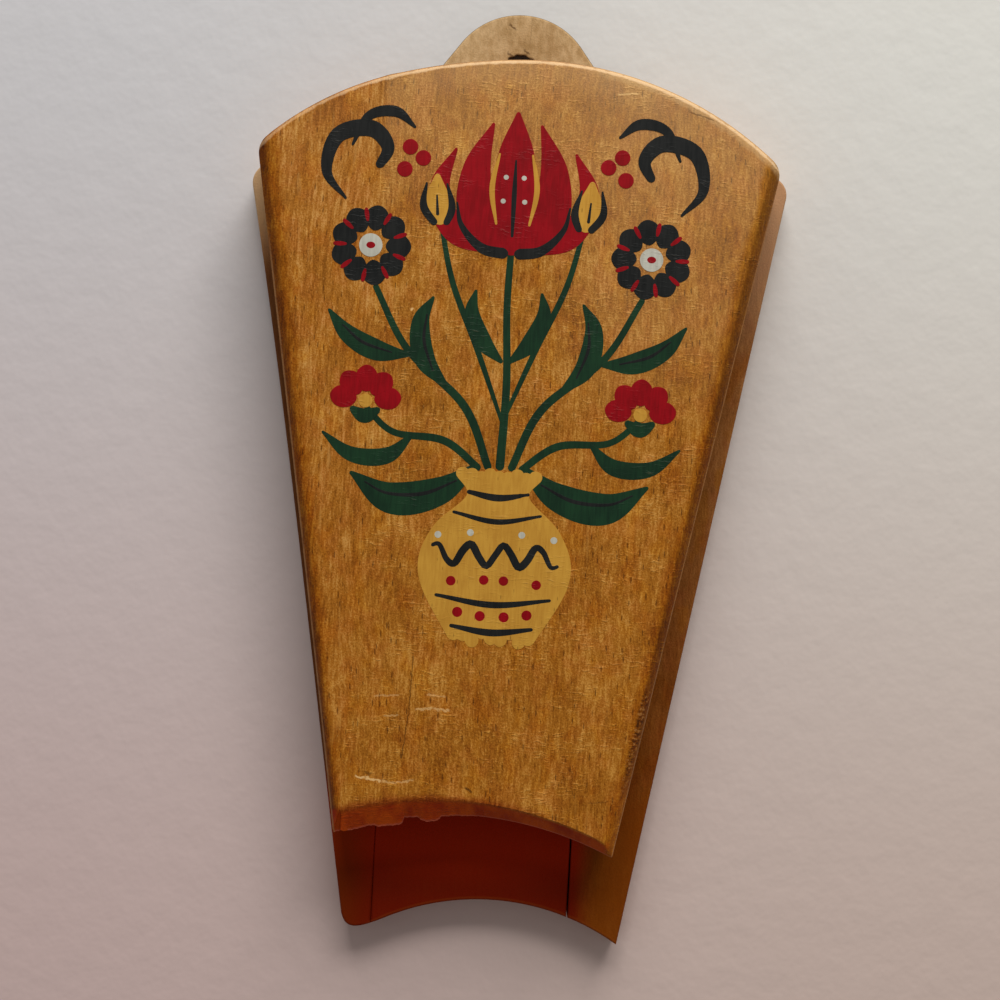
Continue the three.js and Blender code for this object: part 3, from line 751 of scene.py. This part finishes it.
# How far the front's torn lower edge hangs below its arc, left to right, with steps where splinters end
TORN_EDGE = np.array([
    (-50.0, 1.6), (-47.6, 0.8), (-43.2, 1.9), (-38.3, 1.7), (-35.3, 1.8), (-33.9, 2.6), (-29.6, 2.9),
    (-26.0, 2.9), (-25.4, 0.7), (-20.7, 0.9), (-19.6, 2.0), (-17.6, 2.6), (-13.9, 2.3), (-12.9, 0.9),
    (-8.3, 0.6), (0.0, 0.1),
])


def torn_edge(x):
    """How far the lower edge of the front board hangs below its arc, where splinters were left unsanded."""
    rough = 0.12 * np.sin(x * 1.9) * np.sin(x * 0.83 + 1.0) + 0.06 * np.sin(x * 4.1 + 0.4)
    return np.interp(x, *TORN_EDGE.T) + rough * (x < 0)


def front_stave(node, joints, spacing, material):
    """One stave of the front board, where joints gives the x of its left and right joint, or None at the
    board's own side. The inner loop is filled as a grid that follows the face's unevenness, and rings carry
    the edge profile depth * (1 - share) ** power from the inner loop to the outer one."""
    left, right = (front_side(side, joint) for side, joint in zip((-1, 1), joints))
    wide = corner(right["line"], FRONT["top"])[0] - corner(left["line"], FRONT["top"])[0]
    tall = edge_height(FRONT["top"], 0.0) - edge_height(FRONT["bottom"], 0.0)
    across, up = int(wide / spacing) + 1, int(tall / spacing) + 1
    outer = to_frame(FRONT, loop_of(stave_sides(left, right, 0, (across, up))))
    inner_sides = stave_sides(left, right, 1, (across, up))
    inner = to_frame(FRONT, loop_of(inner_sides))
    edges = (CHAMFER, right, TOP_ROLL, left)
    side = np.repeat([0, 1, 2, 3], [across - 1, up - 1, across - 1, up - 1])
    profiles = np.array([[edge["depth"], edge["power"]] for edge in edges])[side].T
    depth, power = (spread(values, PROFILE_SPREAD) for values in profiles)
    outer[:, 1] -= torn_edge(outer[:, 0]) * spread((side == 0).astype(float), TORN_SPREAD)

    grid = to_frame(FRONT, filled(inner_sides).reshape(-1, 2))
    layers = [at_depth(grid, FRONT_FACE - unevenness(*grid.T))]
    for share in ROLL_STEPS:
        ring = outer + share * (inner - outer)
        y = FRONT_FACE + depth * (1 - share) ** power - unevenness(*ring.T) * share
        layers.append(at_depth(ring, y))
    layers.append(at_depth(outer, FRONT_REAR - REAR_EASE["depth"]))
    layers.append(at_depth(outer + REAR_EASE["share"] * (inner - outer), FRONT_REAR))
    points = np.concatenate(layers)

    index = np.arange(across * up).reshape(up, across)
    face = np.stack([index[:-1, :-1], index[:-1, 1:], index[1:, 1:], index[1:, :-1]], -1).reshape(-1, 4)
    border = np.concatenate([index[0, :-1], index[:-1, -1], index[-1, :0:-1], index[:0:-1, 0]])
    rings = np.concatenate([border, np.arange(across * up, len(points))])
    ladder = rings[ring_quads(len(layers), len(border))][:, ::-1]
    rear = flat_face(points, [rings[-len(border):]], 1)
    piece = make_piece(node + "_wood", points, np.concatenate([face, ladder]), rear, material)
    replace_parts(piece, node)


def spread(values, reach):
    """Values round a closed loop, each averaged with its neighbours up to reach places away."""
    return sum(np.roll(values, shift) for shift in range(-reach, reach + 1)) / (2 * reach + 1)


def loop_normals(loop):
    """Outward normals of an anticlockwise loop, each stretched so that a moved side keeps its distance."""
    before = loop - np.roll(loop, 1, 0)
    after = np.roll(loop, -1, 0) - loop
    before /= np.hypot(*before.T)[:, None]
    after /= np.hypot(*after.T)[:, None]
    total = before + after
    normal = np.stack([total[:, 1], -total[:, 0]], -1) / np.hypot(*total.T)[:, None]
    cosine = normal[:, 0] * before[:, 1] - normal[:, 1] * before[:, 0]
    return normal / np.maximum(cosine, 0.5)[:, None]


# The back board's edges: its rear slant and front quarter-round, and how far in the flat faces start
REAR_SLANT = 0.4
REAR_FLAT = 0.52
FRONT_ROUND = 0.8
FRONT_FLAT = 0.92


def back_edge():
    """The profile of the back board's edge as (distance into the wood, y), from the rear face at y = 0 to the
    front: a small slant, then a quarter-round."""
    profile = [(REAR_FLAT, 0.0), (REAR_SLANT, 0.0), (0.0, -REAR_SLANT)]
    for turn in np.radians([0, 18, 36, 54, 72, 90]):
        profile.append((FRONT_ROUND * (1 - math.cos(turn)), BACK_FACE + FRONT_ROUND * (1 - math.sin(turn))))
    profile.append((FRONT_FLAT, BACK_FACE))
    return profile


def slab(name, edges, material):
    """A flat board. Its outline and holes are given as (loop, profile): a closed loop, anticlockwise outside
    and clockwise in holes, and the profile of its edge from rear to front as (distance into the wood, y)."""
    layers, quads, rear_rings, front_rings = [], [], [], []
    start = 0
    for loop, profile in edges:
        normal = loop_normals(loop)
        count = len(loop)
        layers += [at_depth(loop - normal * inset, y) for inset, y in profile]
        quads.append(ring_quads(len(profile), count, start))
        rear_rings.append(np.arange(count) + start)
        start += len(profile) * count
        front_rings.append(np.arange(count) + start - count)
    points = np.concatenate(layers)
    triangles = np.concatenate([flat_face(points, front_rings, -1), flat_face(points, rear_rings, 1)])
    return make_piece(name, points, np.concatenate(quads), triangles, material)


# Points nearer than this to a joint or to the sharp lower tip are left out of the back board's outline
CLEAR_OF_JOINT = 1.6
CLEAR_OF_TIP = 3.0

# How many points run along each stretch of the back board's outline, and round its holes
COUNTS = {"side": 400, "corner": 12, "top": 60, "tab": 64, "tip": 36, "bottom": 150, "hole": 90, "screw": 40}


def towards(start, end, distance):
    """The point at a distance from start towards end."""
    return start + (end - start) * (distance / np.hypot(*(end - start)))


def on_circle(radius, angle):
    """Points at angles round the origin, at one radius or at one for each."""
    return np.stack([radius * np.cos(angle), radius * np.sin(angle)], -1)


def on_arc(arc, angle):
    """Points on a board's arc at angles."""
    return np.array(arc[:2]) + on_circle(arc[2], angle)


def angle_on(arc, point):
    """The angle of a point on a board's arc."""
    return math.atan2(point[1] - arc[1], point[0] - arc[0])


def arc_side(arc, start, end, count):
    """Points on an arc from one point on it to another."""
    return on_arc(arc, np.linspace(angle_on(arc, start), angle_on(arc, end), count))


def back_outline():
    """The whole back board's outline, anticlockwise from its lower right tip, in the frame of the model.

    Bowed sides, rounded top corners and a top arc from which the tab stands: an arc whose ends run on as
    straight flanks, tangent to it, down to the board. The lower left tip is worn to a cubic curve."""
    (low_left, low_right), (top_left, top_right) = (
        [corner(board_side(BACK, side), BACK[edge]) for side in (-1, 1)] for edge in ("bottom", "top"))
    top, bottom = BACK["top"][0], BACK["bottom"][0]
    right_end = towards(top_right, low_right, BACK_TOP_CORNERS)
    arch_start = on_arc(top, angle_on(top, top_right) + BACK_TOP_CORNERS / top[2])
    arch_end = on_arc(top, angle_on(top, top_left) - BACK_TOP_CORNERS / top[2])
    left_start = towards(top_left, low_left, BACK_TOP_CORNERS)
    left_end = towards(low_left, top_left, TIP["along_side"])
    low_start = on_arc(bottom, angle_on(bottom, low_left) - TIP["along_arc"] / bottom[2])
    tip = [left_end, *(low_left + np.array(handle) for handle in TIP["handles"]), low_start]

    tab = (TAB_CENTRE[0] - BACK["middle"], TAB_CENTRE[1] - LEVEL, TAB_RADIUS)
    ends = [on_arc(tab, angle) for angle in (TAB_FLANK, math.pi - TAB_FLANK)]
    feet = []
    for end, sign in zip(ends, (1, -1)):
        along = np.array([sign * math.sin(TAB_FLANK), -math.cos(TAB_FLANK)])
        out = end - np.array(top[:2])
        reach = -(out @ along) - math.sqrt((out @ along) ** 2 - out @ out + top[2] ** 2)
        feet.append(end + along * reach)
    stretches = [
        bowed_side(low_right, right_end, BACK["sides"][1][2][::-1], COUNTS["side"]),
        handle_curve([right_end, top_right, arch_start], COUNTS["corner"]),
        arc_side(top, arch_start, feet[0], COUNTS["top"]),
        handle_curve([feet[0], ends[0]], COUNTS["corner"]),
        arc_side(tab, ends[0], ends[1], COUNTS["tab"]),
        handle_curve([ends[1], feet[1]], COUNTS["corner"]),
        arc_side(top, feet[1], arch_end, COUNTS["top"]),
        handle_curve([arch_end, top_left, left_start], COUNTS["corner"]),
        bowed_side(left_start, left_end, BACK["sides"][0][2], COUNTS["side"]),
        handle_curve(tip, COUNTS["tip"]),
        arc_side(bottom, low_start, low_right, COUNTS["bottom"]),
    ]
    outline = loop_of(stretches)
    from_tip = np.hypot(*(outline - outline[0]).T)
    return to_frame(BACK, outline[(from_tip == 0) | (from_tip > CLEAR_OF_TIP)])


def cut_off(loop, limit, side):
    """The part of a closed loop to one side (-1 left, 1 right) of the upright line x = limit. Points close to
    the line are left out, so that the corners stay clean when the loop is moved inwards."""
    ahead = np.roll(loop, -1, 0)
    inside = (loop[:, 0] - limit) * side > 0
    crosses = inside != np.roll(inside, -1)
    run = np.where(crosses, ahead[:, 0] - loop[:, 0], 1.0)
    share = (limit - loop[:, 0]) / run
    crossing = loop + share[:, None] * (ahead - loop)
    both = np.stack([loop, crossing], 1).reshape(-1, 2)
    clear = np.abs(loop[:, 0] - limit) > CLEAR_OF_JOINT
    return both[np.stack([inside & clear, crosses], 1).ravel()]


# Tears in the hanging hole's rim: how deep each one is, and its direction and breadth in degrees
TEARS = ((0.9, 30, 14), (0.5, 138, 8))


def clockwise(count):
    """Angles of the points round a hole."""
    return -np.linspace(0, 2 * math.pi, count, endpoint=False)


def hole_loop():
    """The hanging hole: round, with its upper edge torn where the wood has split beside the nail."""
    angle = clockwise(COUNTS["hole"])
    degrees = np.degrees(angle) % 360
    torn = sum(depth * np.exp(-((degrees - middle) / breadth) ** 2) for depth, middle, breadth in TEARS)
    rough = 0.12 * np.sin(angle * 11) * np.clip(np.sin(angle), 0, 1)
    return on_circle(HOLE_RADIUS + torn + rough, angle)


def screw_hole(centre):
    """A countersunk hole from the rear face through a board, as a loop and the profile of its edge."""
    loop = centre + on_circle(SCREW_HOLE["head_radius"], clockwise(COUNTS["screw"]))
    narrowed = SCREW_HOLE["radius"] - SCREW_HOLE["head_radius"]
    sunk, cone_end = SCREW_HOLE["sunk"], SCREW_HOLE["cone_end"]
    return loop, [(0.0, 0.0), (0.0, sunk), (narrowed, cone_end), (narrowed, BACK_FACE)]


def back_staves(material, screws):
    """The three staves of the back board: its outline, cut along the joints, with holes for its screws."""
    outline = back_outline()
    first, second = (joint + BACK["middle"] for joint in BACK_JOINTS)
    edge = back_edge()
    staves = {
        "back_stave_left": (-math.inf, first, [cut_off(outline, first, -1)]),
        "back_stave_middle": (first, second, [cut_off(cut_off(outline, first, 1), second, -1), hole_loop()]),
        "back_stave_right": (second, math.inf, [cut_off(outline, second + OPEN_JOINT_GAP, 1)]),
    }
    for node, (left, right, loops) in staves.items():
        edges = [(loop, edge) for loop in loops]
        edges += [screw_hole(place) for place in screws if left < place[0] < right]
        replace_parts(slab(node + "_wood", edges, material), node)


# Painted design


def smooth_curve(share, values):
    """A smooth curve through evenly spaced values, at shares 0 to 1 of its length: cubic pieces that have, at
    each value, the slope between its neighbours."""
    values = np.asarray(values, float)
    slopes = np.gradient(values)
    place = np.clip((share * (len(values) - 1)).astype(int), 0, len(values) - 2)
    t = share * (len(values) - 1) - place
    return ((2 * t ** 3 - 3 * t ** 2 + 1) * values[place] + (t ** 3 - 2 * t ** 2 + t) * slopes[place]
            + (3 * t ** 2 - 2 * t ** 3) * values[place + 1] + (t ** 3 - t ** 2) * slopes[place + 1])


FILM_EDGE = 0.012
FILM_SOLE = 0.08
THINNEST_STROKE = 0.3


def stroke(route, widths, lift, steps=36, ring=9):
    """One brush stroke along a smooth route, as a closed film with a flat sole just inside the wood.

    Its section runs over a flat top, width / 2 * cos(t) across and lift - FILM_EDGE * (1 - sqrt(sin(t)))
    high, and upright down both sides. Both ends are rounded by sqrt(1 - (1 - distance / radius) ** 2) within
    a radius of the stroke's end."""
    share = 0.5 - 0.5 * np.cos(np.linspace(0, math.pi, steps))
    centre = np.stack([smooth_curve(share, [point[k] for point in route]) for k in range(2)], -1)
    width = np.maximum(smooth_curve(share, widths), THINNEST_STROKE)
    along = np.gradient(centre, axis=0)
    gone = np.concatenate([[0.0], np.cumsum(np.hypot(*np.diff(centre, axis=0).T))])
    for distance, end in ((gone, 0), (gone[-1] - gone, -1)):
        radius = 0.5 * width[end]
        width = width * np.sqrt(1 - (1 - np.clip(distance / radius, 0.01, 1)) ** 2)
    along /= np.hypot(*along.T)[:, None]
    sideways = np.stack([along[:, 1], -along[:, 0]], -1)
    turn = np.linspace(0, math.pi, ring)
    offset = np.concatenate([[1.0], np.cos(turn), [-1.0]])
    flat = centre[:, None] + sideways[:, None] * (0.5 * width[:, None] * offset)[..., None]
    over = lift - FILM_EDGE * (1 - np.sqrt(np.clip(np.sin(turn), 0, 1)))
    out = np.concatenate([[-FILM_SOLE], over, [-FILM_SOLE]])
    y = FRONT_FACE - unevenness(flat[..., 0], flat[..., 1]) - out
    points = at_depth(flat, y).reshape(-1, 3)
    count = ring + 2
    quads = ring_quads(steps, count)[:, ::-1]
    side = np.arange(count - 2)
    near = np.stack([side, side + 1, np.full(len(side), count - 1)], -1)
    far = near[:, ::-1] + (steps - 1) * count
    return points, quads, np.concatenate([near, far])


class Painting:
    """Brush strokes gathered by colour, each a little higher than the one before. Places are millimetres from
    the design's own upright axis and heights in the frame of the model."""

    AXIS = 0.4
    FIRST_LIFT = 0.04
    LIFT_STEP = 0.002

    def __init__(self):
        self.strokes = {}
        self.lift = self.FIRST_LIFT

    def lay(self, colour, routes, widths, **options):
        """Strokes of one shape of width along several routes, all as high as each other."""
        self.lift += self.LIFT_STEP
        for route in routes:
            placed = [(x + self.AXIS, z) for x, z in route]
            self.strokes.setdefault(colour, []).append(stroke(placed, widths, self.lift, **options))

    def add(self, colour, route, widths, **options):
        self.lay(colour, [route], widths, **options)

    def pair(self, colour, route, widths, **options):
        """The same stroke on both sides of the axis."""
        self.lay(colour, [route, [(-x, z) for x, z in route]], widths, **options)

    def dots(self, colour, centres, size):
        """Round dots on both sides of the axis."""
        sides = [(side * x, z) for x, z in centres for side in (-1, 1)]
        self.lay(colour, [[(x - size / 2, z), (x + size / 2, z)] for x, z in sides], [size, size], steps=20)

    def petals(self, colour, centre, angles, near, far, widths):
        """Straight petals round a centre, from one distance to another, on both sides of the axis."""
        turns = [(math.cos(angle), math.sin(angle)) for angle in np.radians(angles)]
        reaches = (near, (near + far) / 2, far)
        for side in (-1, 1):
            routes = [[(side * (centre[0] + r * x), centre[1] + r * z) for r in reaches] for x, z in turns]
            self.lay(colour, routes, widths)

    def pieces(self, enamels):
        for colour, strokes in self.strokes.items():
            points, *faces = zip(*strokes)
            starts = np.cumsum([0, *map(len, points)])
            points = np.concatenate(points)
            quads, ends = (np.concatenate([own + at for own, at in zip(kind, starts)]) for kind in faces)
            piece = make_piece(f"painted_{colour}", points, quads, ends, enamels[colour], sharp=80.0)


# The jug: heights of its rim, neck, shoulder, belly and foot, its half widths there, and its brush strokes
JUG_HEIGHTS = (-140.0, -149.0, -162.0, -176.0, -198.0)
JUG_HALVES = (15.0, 10.0, 21.0, 24.0, 13.0)
JUG_STROKES = 9


def paint_jug(design):
    """An ochre jug laid in with upright strokes, banded in black with red and white dots."""
    for k in range(JUG_STROKES):
        across = (2 * k + 1) / JUG_STROKES - 1
        ragged = 1.6 * math.sin(k * 2.3 + 0.5)
        heights = [JUG_HEIGHTS[0] + ragged * 0.4, *JUG_HEIGHTS[1:-1], JUG_HEIGHTS[-1] + ragged]
        route = [(across * half, z) for half, z in zip(JUG_HALVES, heights)]
        design.add("ochre", route, [2.9 * half / JUG_STROKES for half in JUG_HALVES], steps=60, ring=11)
    design.add("black", [(-10.5, -147.5), (0, -149.2), (10.5, -147.5)], [1.4, 2.4, 1.2])
    design.add("black", [(-15.0, -154.5), (0, -157.2), (15.0, -154.5)], [1.0, 1.9, 1.0])
    wave = [(x, -168.5 + 3.6 * math.sin(x * 0.55)) for x in np.linspace(-21.5, 21.5, 17)]
    design.add("black", wave, [1.2, 2.6, 2.2, 2.6, 1.2], steps=90)
    design.add("black", [(-19.5, -182.5), (0, -185.0), (19.5, -182.5)], [1.1, 2.2, 1.1])
    design.add("black", [(-14.0, -192.5), (0, -194.3), (14.0, -192.5)], [1.2, 2.4, 1.2])
    design.dots("red", [(4.0, -188.9), (11.6, -187.9)], 3.4)
    design.dots("red", [(3.3, -176.8), (14.3, -177.6)], 3.2)
    design.dots("white", [(8.6, -161.2), (19.4, -162.4)], 2.3)


def paint_leaves(design):
    """Stems and leaves."""
    design.add("green", [(0, -140), (0.8, -112), (-0.4, -86), (0, -64)], [3.0, 2.6, 2.4, 2.2], steps=50)
    design.pair("green", [(3.5, -140), (13, -119), (33, -101), (45, -80)], [2.6, 2.8, 2.4, 2.0], steps=50)
    design.pair("green", [(6.5, -140), (19, -131), (36, -129), (46, -121)], [2.4, 2.6, 2.2, 2.0], steps=50)
    design.pair("green", [(0.0, -124), (10, -99), (19, -78), (24, -58)], [1.2, 2.0, 2.0, 1.6], steps=50)
    design.pair("green", [(8, -139), (20, -148), (36, -151), (50, -143)], [2.0, 9.5, 10.5, 1.0], steps=50)
    design.pair("green", [(19, -113), (27, -104), (29, -92), (25, -83)], [1.4, 7.0, 6.0, 0.8])
    design.pair("green", [(32, -103), (43, -102), (53, -97), (60, -89)], [1.4, 7.0, 6.0, 0.8])
    design.pair("green", [(1, -104), (8, -97), (12, -88), (11, -80)], [1.2, 6.0, 5.0, 0.8])
    design.pair("green", [(30, -130), (38, -137), (50, -137), (60, -130)], [1.4, 5.5, 5.0, 0.8])
    design.pair("black", [(14, -144), (25, -149), (37, -149.5), (45, -146)], [0.6, 1.3, 1.0, 0.5])
    design.pair("black", [(24, -108), (27.5, -98), (27, -89)], [0.5, 1.1, 0.5])
    design.pair("black", [(38, -102.5), (48, -99.5), (55, -94)], [0.5, 1.1, 0.5])


def paint_flowers(design):
    """A tall red tulip, two black rosettes, two open red flowers, ochre buds, scrolls and berries."""
    design.pair("red", [(4, -66), (19, -61), (25, -47), (20, -33)], [4.0, 8.0, 7.0, 0.8])
    design.pair("red", [(2, -67), (12, -56), (13, -40), (8, -24)], [5.0, 12.0, 9.5, 0.8])
    design.add("red", [(0, -68), (0, -50), (0, -34), (0, -20)], [7.0, 15.0, 12.0, 1.0])
    design.pair("black", [(1, -67.5), (10, -66), (17, -59), (19, -51)], [4.0, 3.4, 2.0, 0.6])
    design.pair("ochre", [(5.5, -58), (7.5, -46), (5.5, -34)], [0.8, 1.9, 0.7])
    design.add("black", [(0, -62), (0, -48), (0, -36)], [1.0, 1.8, 0.6])
    design.dots("white", [(3.6, -50.0), (3.0, -42.0)], 1.7)

    design.petals("black", (47, -67), range(20, 380, 40), 5.0, 13.5, [3.2, 7.6, 6.4])
    design.petals("red", (47, -67), range(0, 360, 40), 8.0, 12.6, [0.8, 1.6, 1.0])
    design.dots("white", [(47, -67)], 7.8)
    design.dots("red", [(47, -67)], 3.0)

    design.petals("red", (46, -119), (8, 49, 90, 131, 172), 3.0, 12.0, [4.4, 7.4, 5.0])
    design.pair("green", [(41, -121.5), (46, -124), (51, -121.5)], [1.6, 5.0, 1.6])
    design.dots("ochre", [(46, -119)], 4.6)

    design.pair("ochre", [(24, -59), (25.5, -51), (26, -42)], [5.0, 8.6, 1.4])
    design.pair("black", [(22.6, -59), (20.6, -53), (22.6, -45)], [2.4, 2.6, 0.6])
    design.pair("black", [(25.6, -59), (30.0, -53), (29.4, -45)], [2.4, 2.6, 0.6])
    design.pair("black", [(25.2, -56), (25.8, -49)], [1.2, 0.6])

    design.pair("black", [(56, -52), (63, -43), (60, -31), (49, -28), (43, -34), (46, -41)],
                [0.8, 3.4, 5.2, 5.6, 4.4, 2.6], steps=60)
    design.pair("black", [(55, -34), (50, -24), (41, -22), (34, -27)], [0.8, 3.0, 3.6, 0.8], steps=50)
    design.dots("red", [(35.5, -33.5), (37.0, -41.0), (31.0, -37.0)], 5.2)


def paint_design():
    """A jug of flowers, alike on the left and right."""
    design = Painting()
    paint_leaves(design)
    paint_jug(design)
    paint_flowers(design)
    return design


def dress(nodes, prefixes, material):
    """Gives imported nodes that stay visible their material."""
    for name, thing in nodes.items():
        if name.startswith(prefixes):
            for place in range(len(thing.data.materials)):
                thing.data.materials[place] = material


WOODS = {
    "front_beech": {
        "tones": ((136, 78, 10), (180, 116, 36), (220, 162, 82)), "fleck": (80, 40, 8),
        "figure": 1.0, "streaks": 0.3, "rough": 0.55, "shade": front_shade},
    "front_beech_left": {
        "tones": ((138, 81, 12), (182, 116, 37), (218, 161, 86)), "fleck": (92, 48, 8),
        "figure": 0.15, "streaks": 0.75, "rough": 0.55, "shade": front_shade},
    "back_beech": {
        "tones": ((130, 80, 34), (152, 98, 50), (174, 118, 66)), "fleck": (76, 42, 16),
        "figure": 0.1, "streaks": 0.4, "rough": 0.6, "shade": back_shade, "rays": 0.4, "specular": 0.05},
    "bare_beech": {
        "tones": ((150, 116, 76), (186, 150, 104), (212, 182, 136)), "fleck": (120, 84, 50),
        "figure": 0.1, "streaks": 0.6, "rough": 0.72},
}

# The enamels' two colours and how far the wood's rays show through them
ENAMELS = {
    "black": ((36, 37, 36), (22, 24, 24), 0.0),
    "red": ((160, 4, 20), (134, 2, 12), 0.0),
    "green": ((28, 62, 38), (20, 46, 30), 0.0),
    "ochre": ((214, 160, 62), (196, 140, 50), 0.5),
    "white": ((206, 204, 190), (184, 182, 168), 0.0),
}
FRONT_SPACING = {"quick": 2.0, "full": 0.9}


def build():
    """Every piece of the object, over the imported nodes."""
    front_right, front_left, back, bare = (beech(name, **look) for name, look in WOODS.items())
    spacing = FRONT_SPACING["full"]
    front_stave("front_stave_left", (None, FRONT_JOINT), spacing, front_left)
    front_stave("front_stave_right", (FRONT_JOINT, None), spacing, front_right)
    screws = [np.mean(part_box(name), 0)[[0, 2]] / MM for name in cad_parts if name.startswith("screw")]
    back_staves(back, screws)
    dress(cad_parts, ("side_rail", "divider"), bare)
    dress(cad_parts, ("screw",), steel("zinced_steel"))
    enamels = {name: enamel(f"enamel_{name}", *look) for name, look in ENAMELS.items()}
    paint_design().pieces(enamels)


def add_camera():
    """The photograph's eye: square to the wall, rolled so that the holder hangs a little clockwise."""
    camera = bpy.data.objects.new("eye", bpy.data.cameras.new("eye"))
    camera.data.sensor_width = SENSOR
    camera.data.lens = FOCAL_PIXELS * SENSOR / IMAGE_PIXELS
    look = Matrix.Rotation(-EYE_ROLL, 4, "Y") @ Matrix.Rotation(math.pi / 2, 4, "X")
    camera.matrix_world = Matrix.Translation(Vector(EYE) * MM) @ look
    bpy.context.scene.collection.objects.link(camera)
    bpy.context.scene.camera = camera


WALL_GAP = 0.6
WALL_REACH = 2500.0
CUT_OUT_MIDDLE = (0.0, -120.0)
CUT_OUT_SCALE = 0.96
STRIP = {"half": 1.5, "low": -300.0, "high": 0.0, "gap": 0.7}


def add_stage():
    """A pale wall, painted lighter above and to the right and cooler above than below, as painted light from
    above and the right, and pinker below, as painted light bounced warm off the wood. It can be seen and lit
    from its front alone. It is open behind the back board, so that light reaches its back, but for a strip
    behind the open joint."""
    s = Shader("wall_paint")
    # Painted light: lighter to the right and above, cooler above and pinker below, as light falls off
    # downwards and bounces warm off the wood.
    side = s.x.smooth(-190, 190)
    high = s.mix(side, (215, 214, 217), (230, 229, 223))
    low = s.mix(side, (222, 197, 193), (224, 202, 192))
    plaster = s.noise((14, 14, 14), detail=3, rough=0.6) - 0.5
    inputs = {"Color": s.mix(s.z.smooth(-340, 30), low, high), "Normal": s.bump(plaster, 0.5)}
    painted = s.node("ShaderNodeBsdfDiffuse", {}, inputs, "BSDF")
    clear = s.node("ShaderNodeBsdfTransparent", {}, {}, "BSDF")
    behind = s.node("ShaderNodeNewGeometry", {}, {}, "Backfacing")
    paint = s.finished(s.node("ShaderNodeMixShader", {}, {0: behind, 1: painted, 2: clear}, "Shader"))

    square = WALL_REACH * np.array([(-1, -1), (1, -1), (1, 1), (-1, 1)])
    cut_out = CUT_OUT_MIDDLE + (back_outline() - CUT_OUT_MIDDLE) * CUT_OUT_SCALE
    plane = at_depth(np.concatenate([square, cut_out[::-1]]), WALL_GAP)
    count = len(plane)
    faces = flat_face(plane, [np.arange(4), np.arange(4, count)], -1)
    left, right = (BACK_JOINTS[1] + BACK["middle"] + side * STRIP["half"] for side in (-1, 1))
    low, high = STRIP["low"], STRIP["high"]
    strip = at_depth(np.array([(left, low), (right, low), (right, high), (left, high)]), STRIP["gap"])
    points = np.concatenate([plane, strip])
    wall = make_object("wall", points, [*faces.tolist(), list(range(count, count + 4))], paint)


LAMP = {"place": (0.16, -0.86, 1.02), "aim": (0.0, 0.0, -0.15), "size": (1.1, 0.8), "watts": 19.5}
LAMP_COLOUR = (1.0, 0.98, 0.95)
ROOM = {"colour": (1.0, 0.97, 0.94, 1.0), "strength": 0.22}


def add_lights():
    """One large soft lamp, above and in front to the right, and an even pale world."""
    lamp = bpy.data.lights.new("lamp", "AREA")
    lamp.shape = "RECTANGLE"
    lamp.size, lamp.size_y = LAMP["size"]
    lamp.energy = LAMP["watts"]
    lamp.color = LAMP_COLOUR
    light = bpy.data.objects.new("lamp", lamp)
    light.location = LAMP["place"]
    light.rotation_euler = (Vector(LAMP["aim"]) - light.location).to_track_quat("-Z", "Y").to_euler()
    bpy.context.scene.collection.objects.link(light)
    world = bpy.data.worlds.new("room")
    world.use_nodes = True
    background = world.node_tree.nodes["Background"]
    background.inputs["Color"].default_value = ROOM["colour"]
    background.inputs["Strength"].default_value = ROOM["strength"]
    bpy.context.scene.world = world


build()
add_camera()
add_stage()
add_lights()
bpy.context.scene.view_settings.view_transform = "Standard"
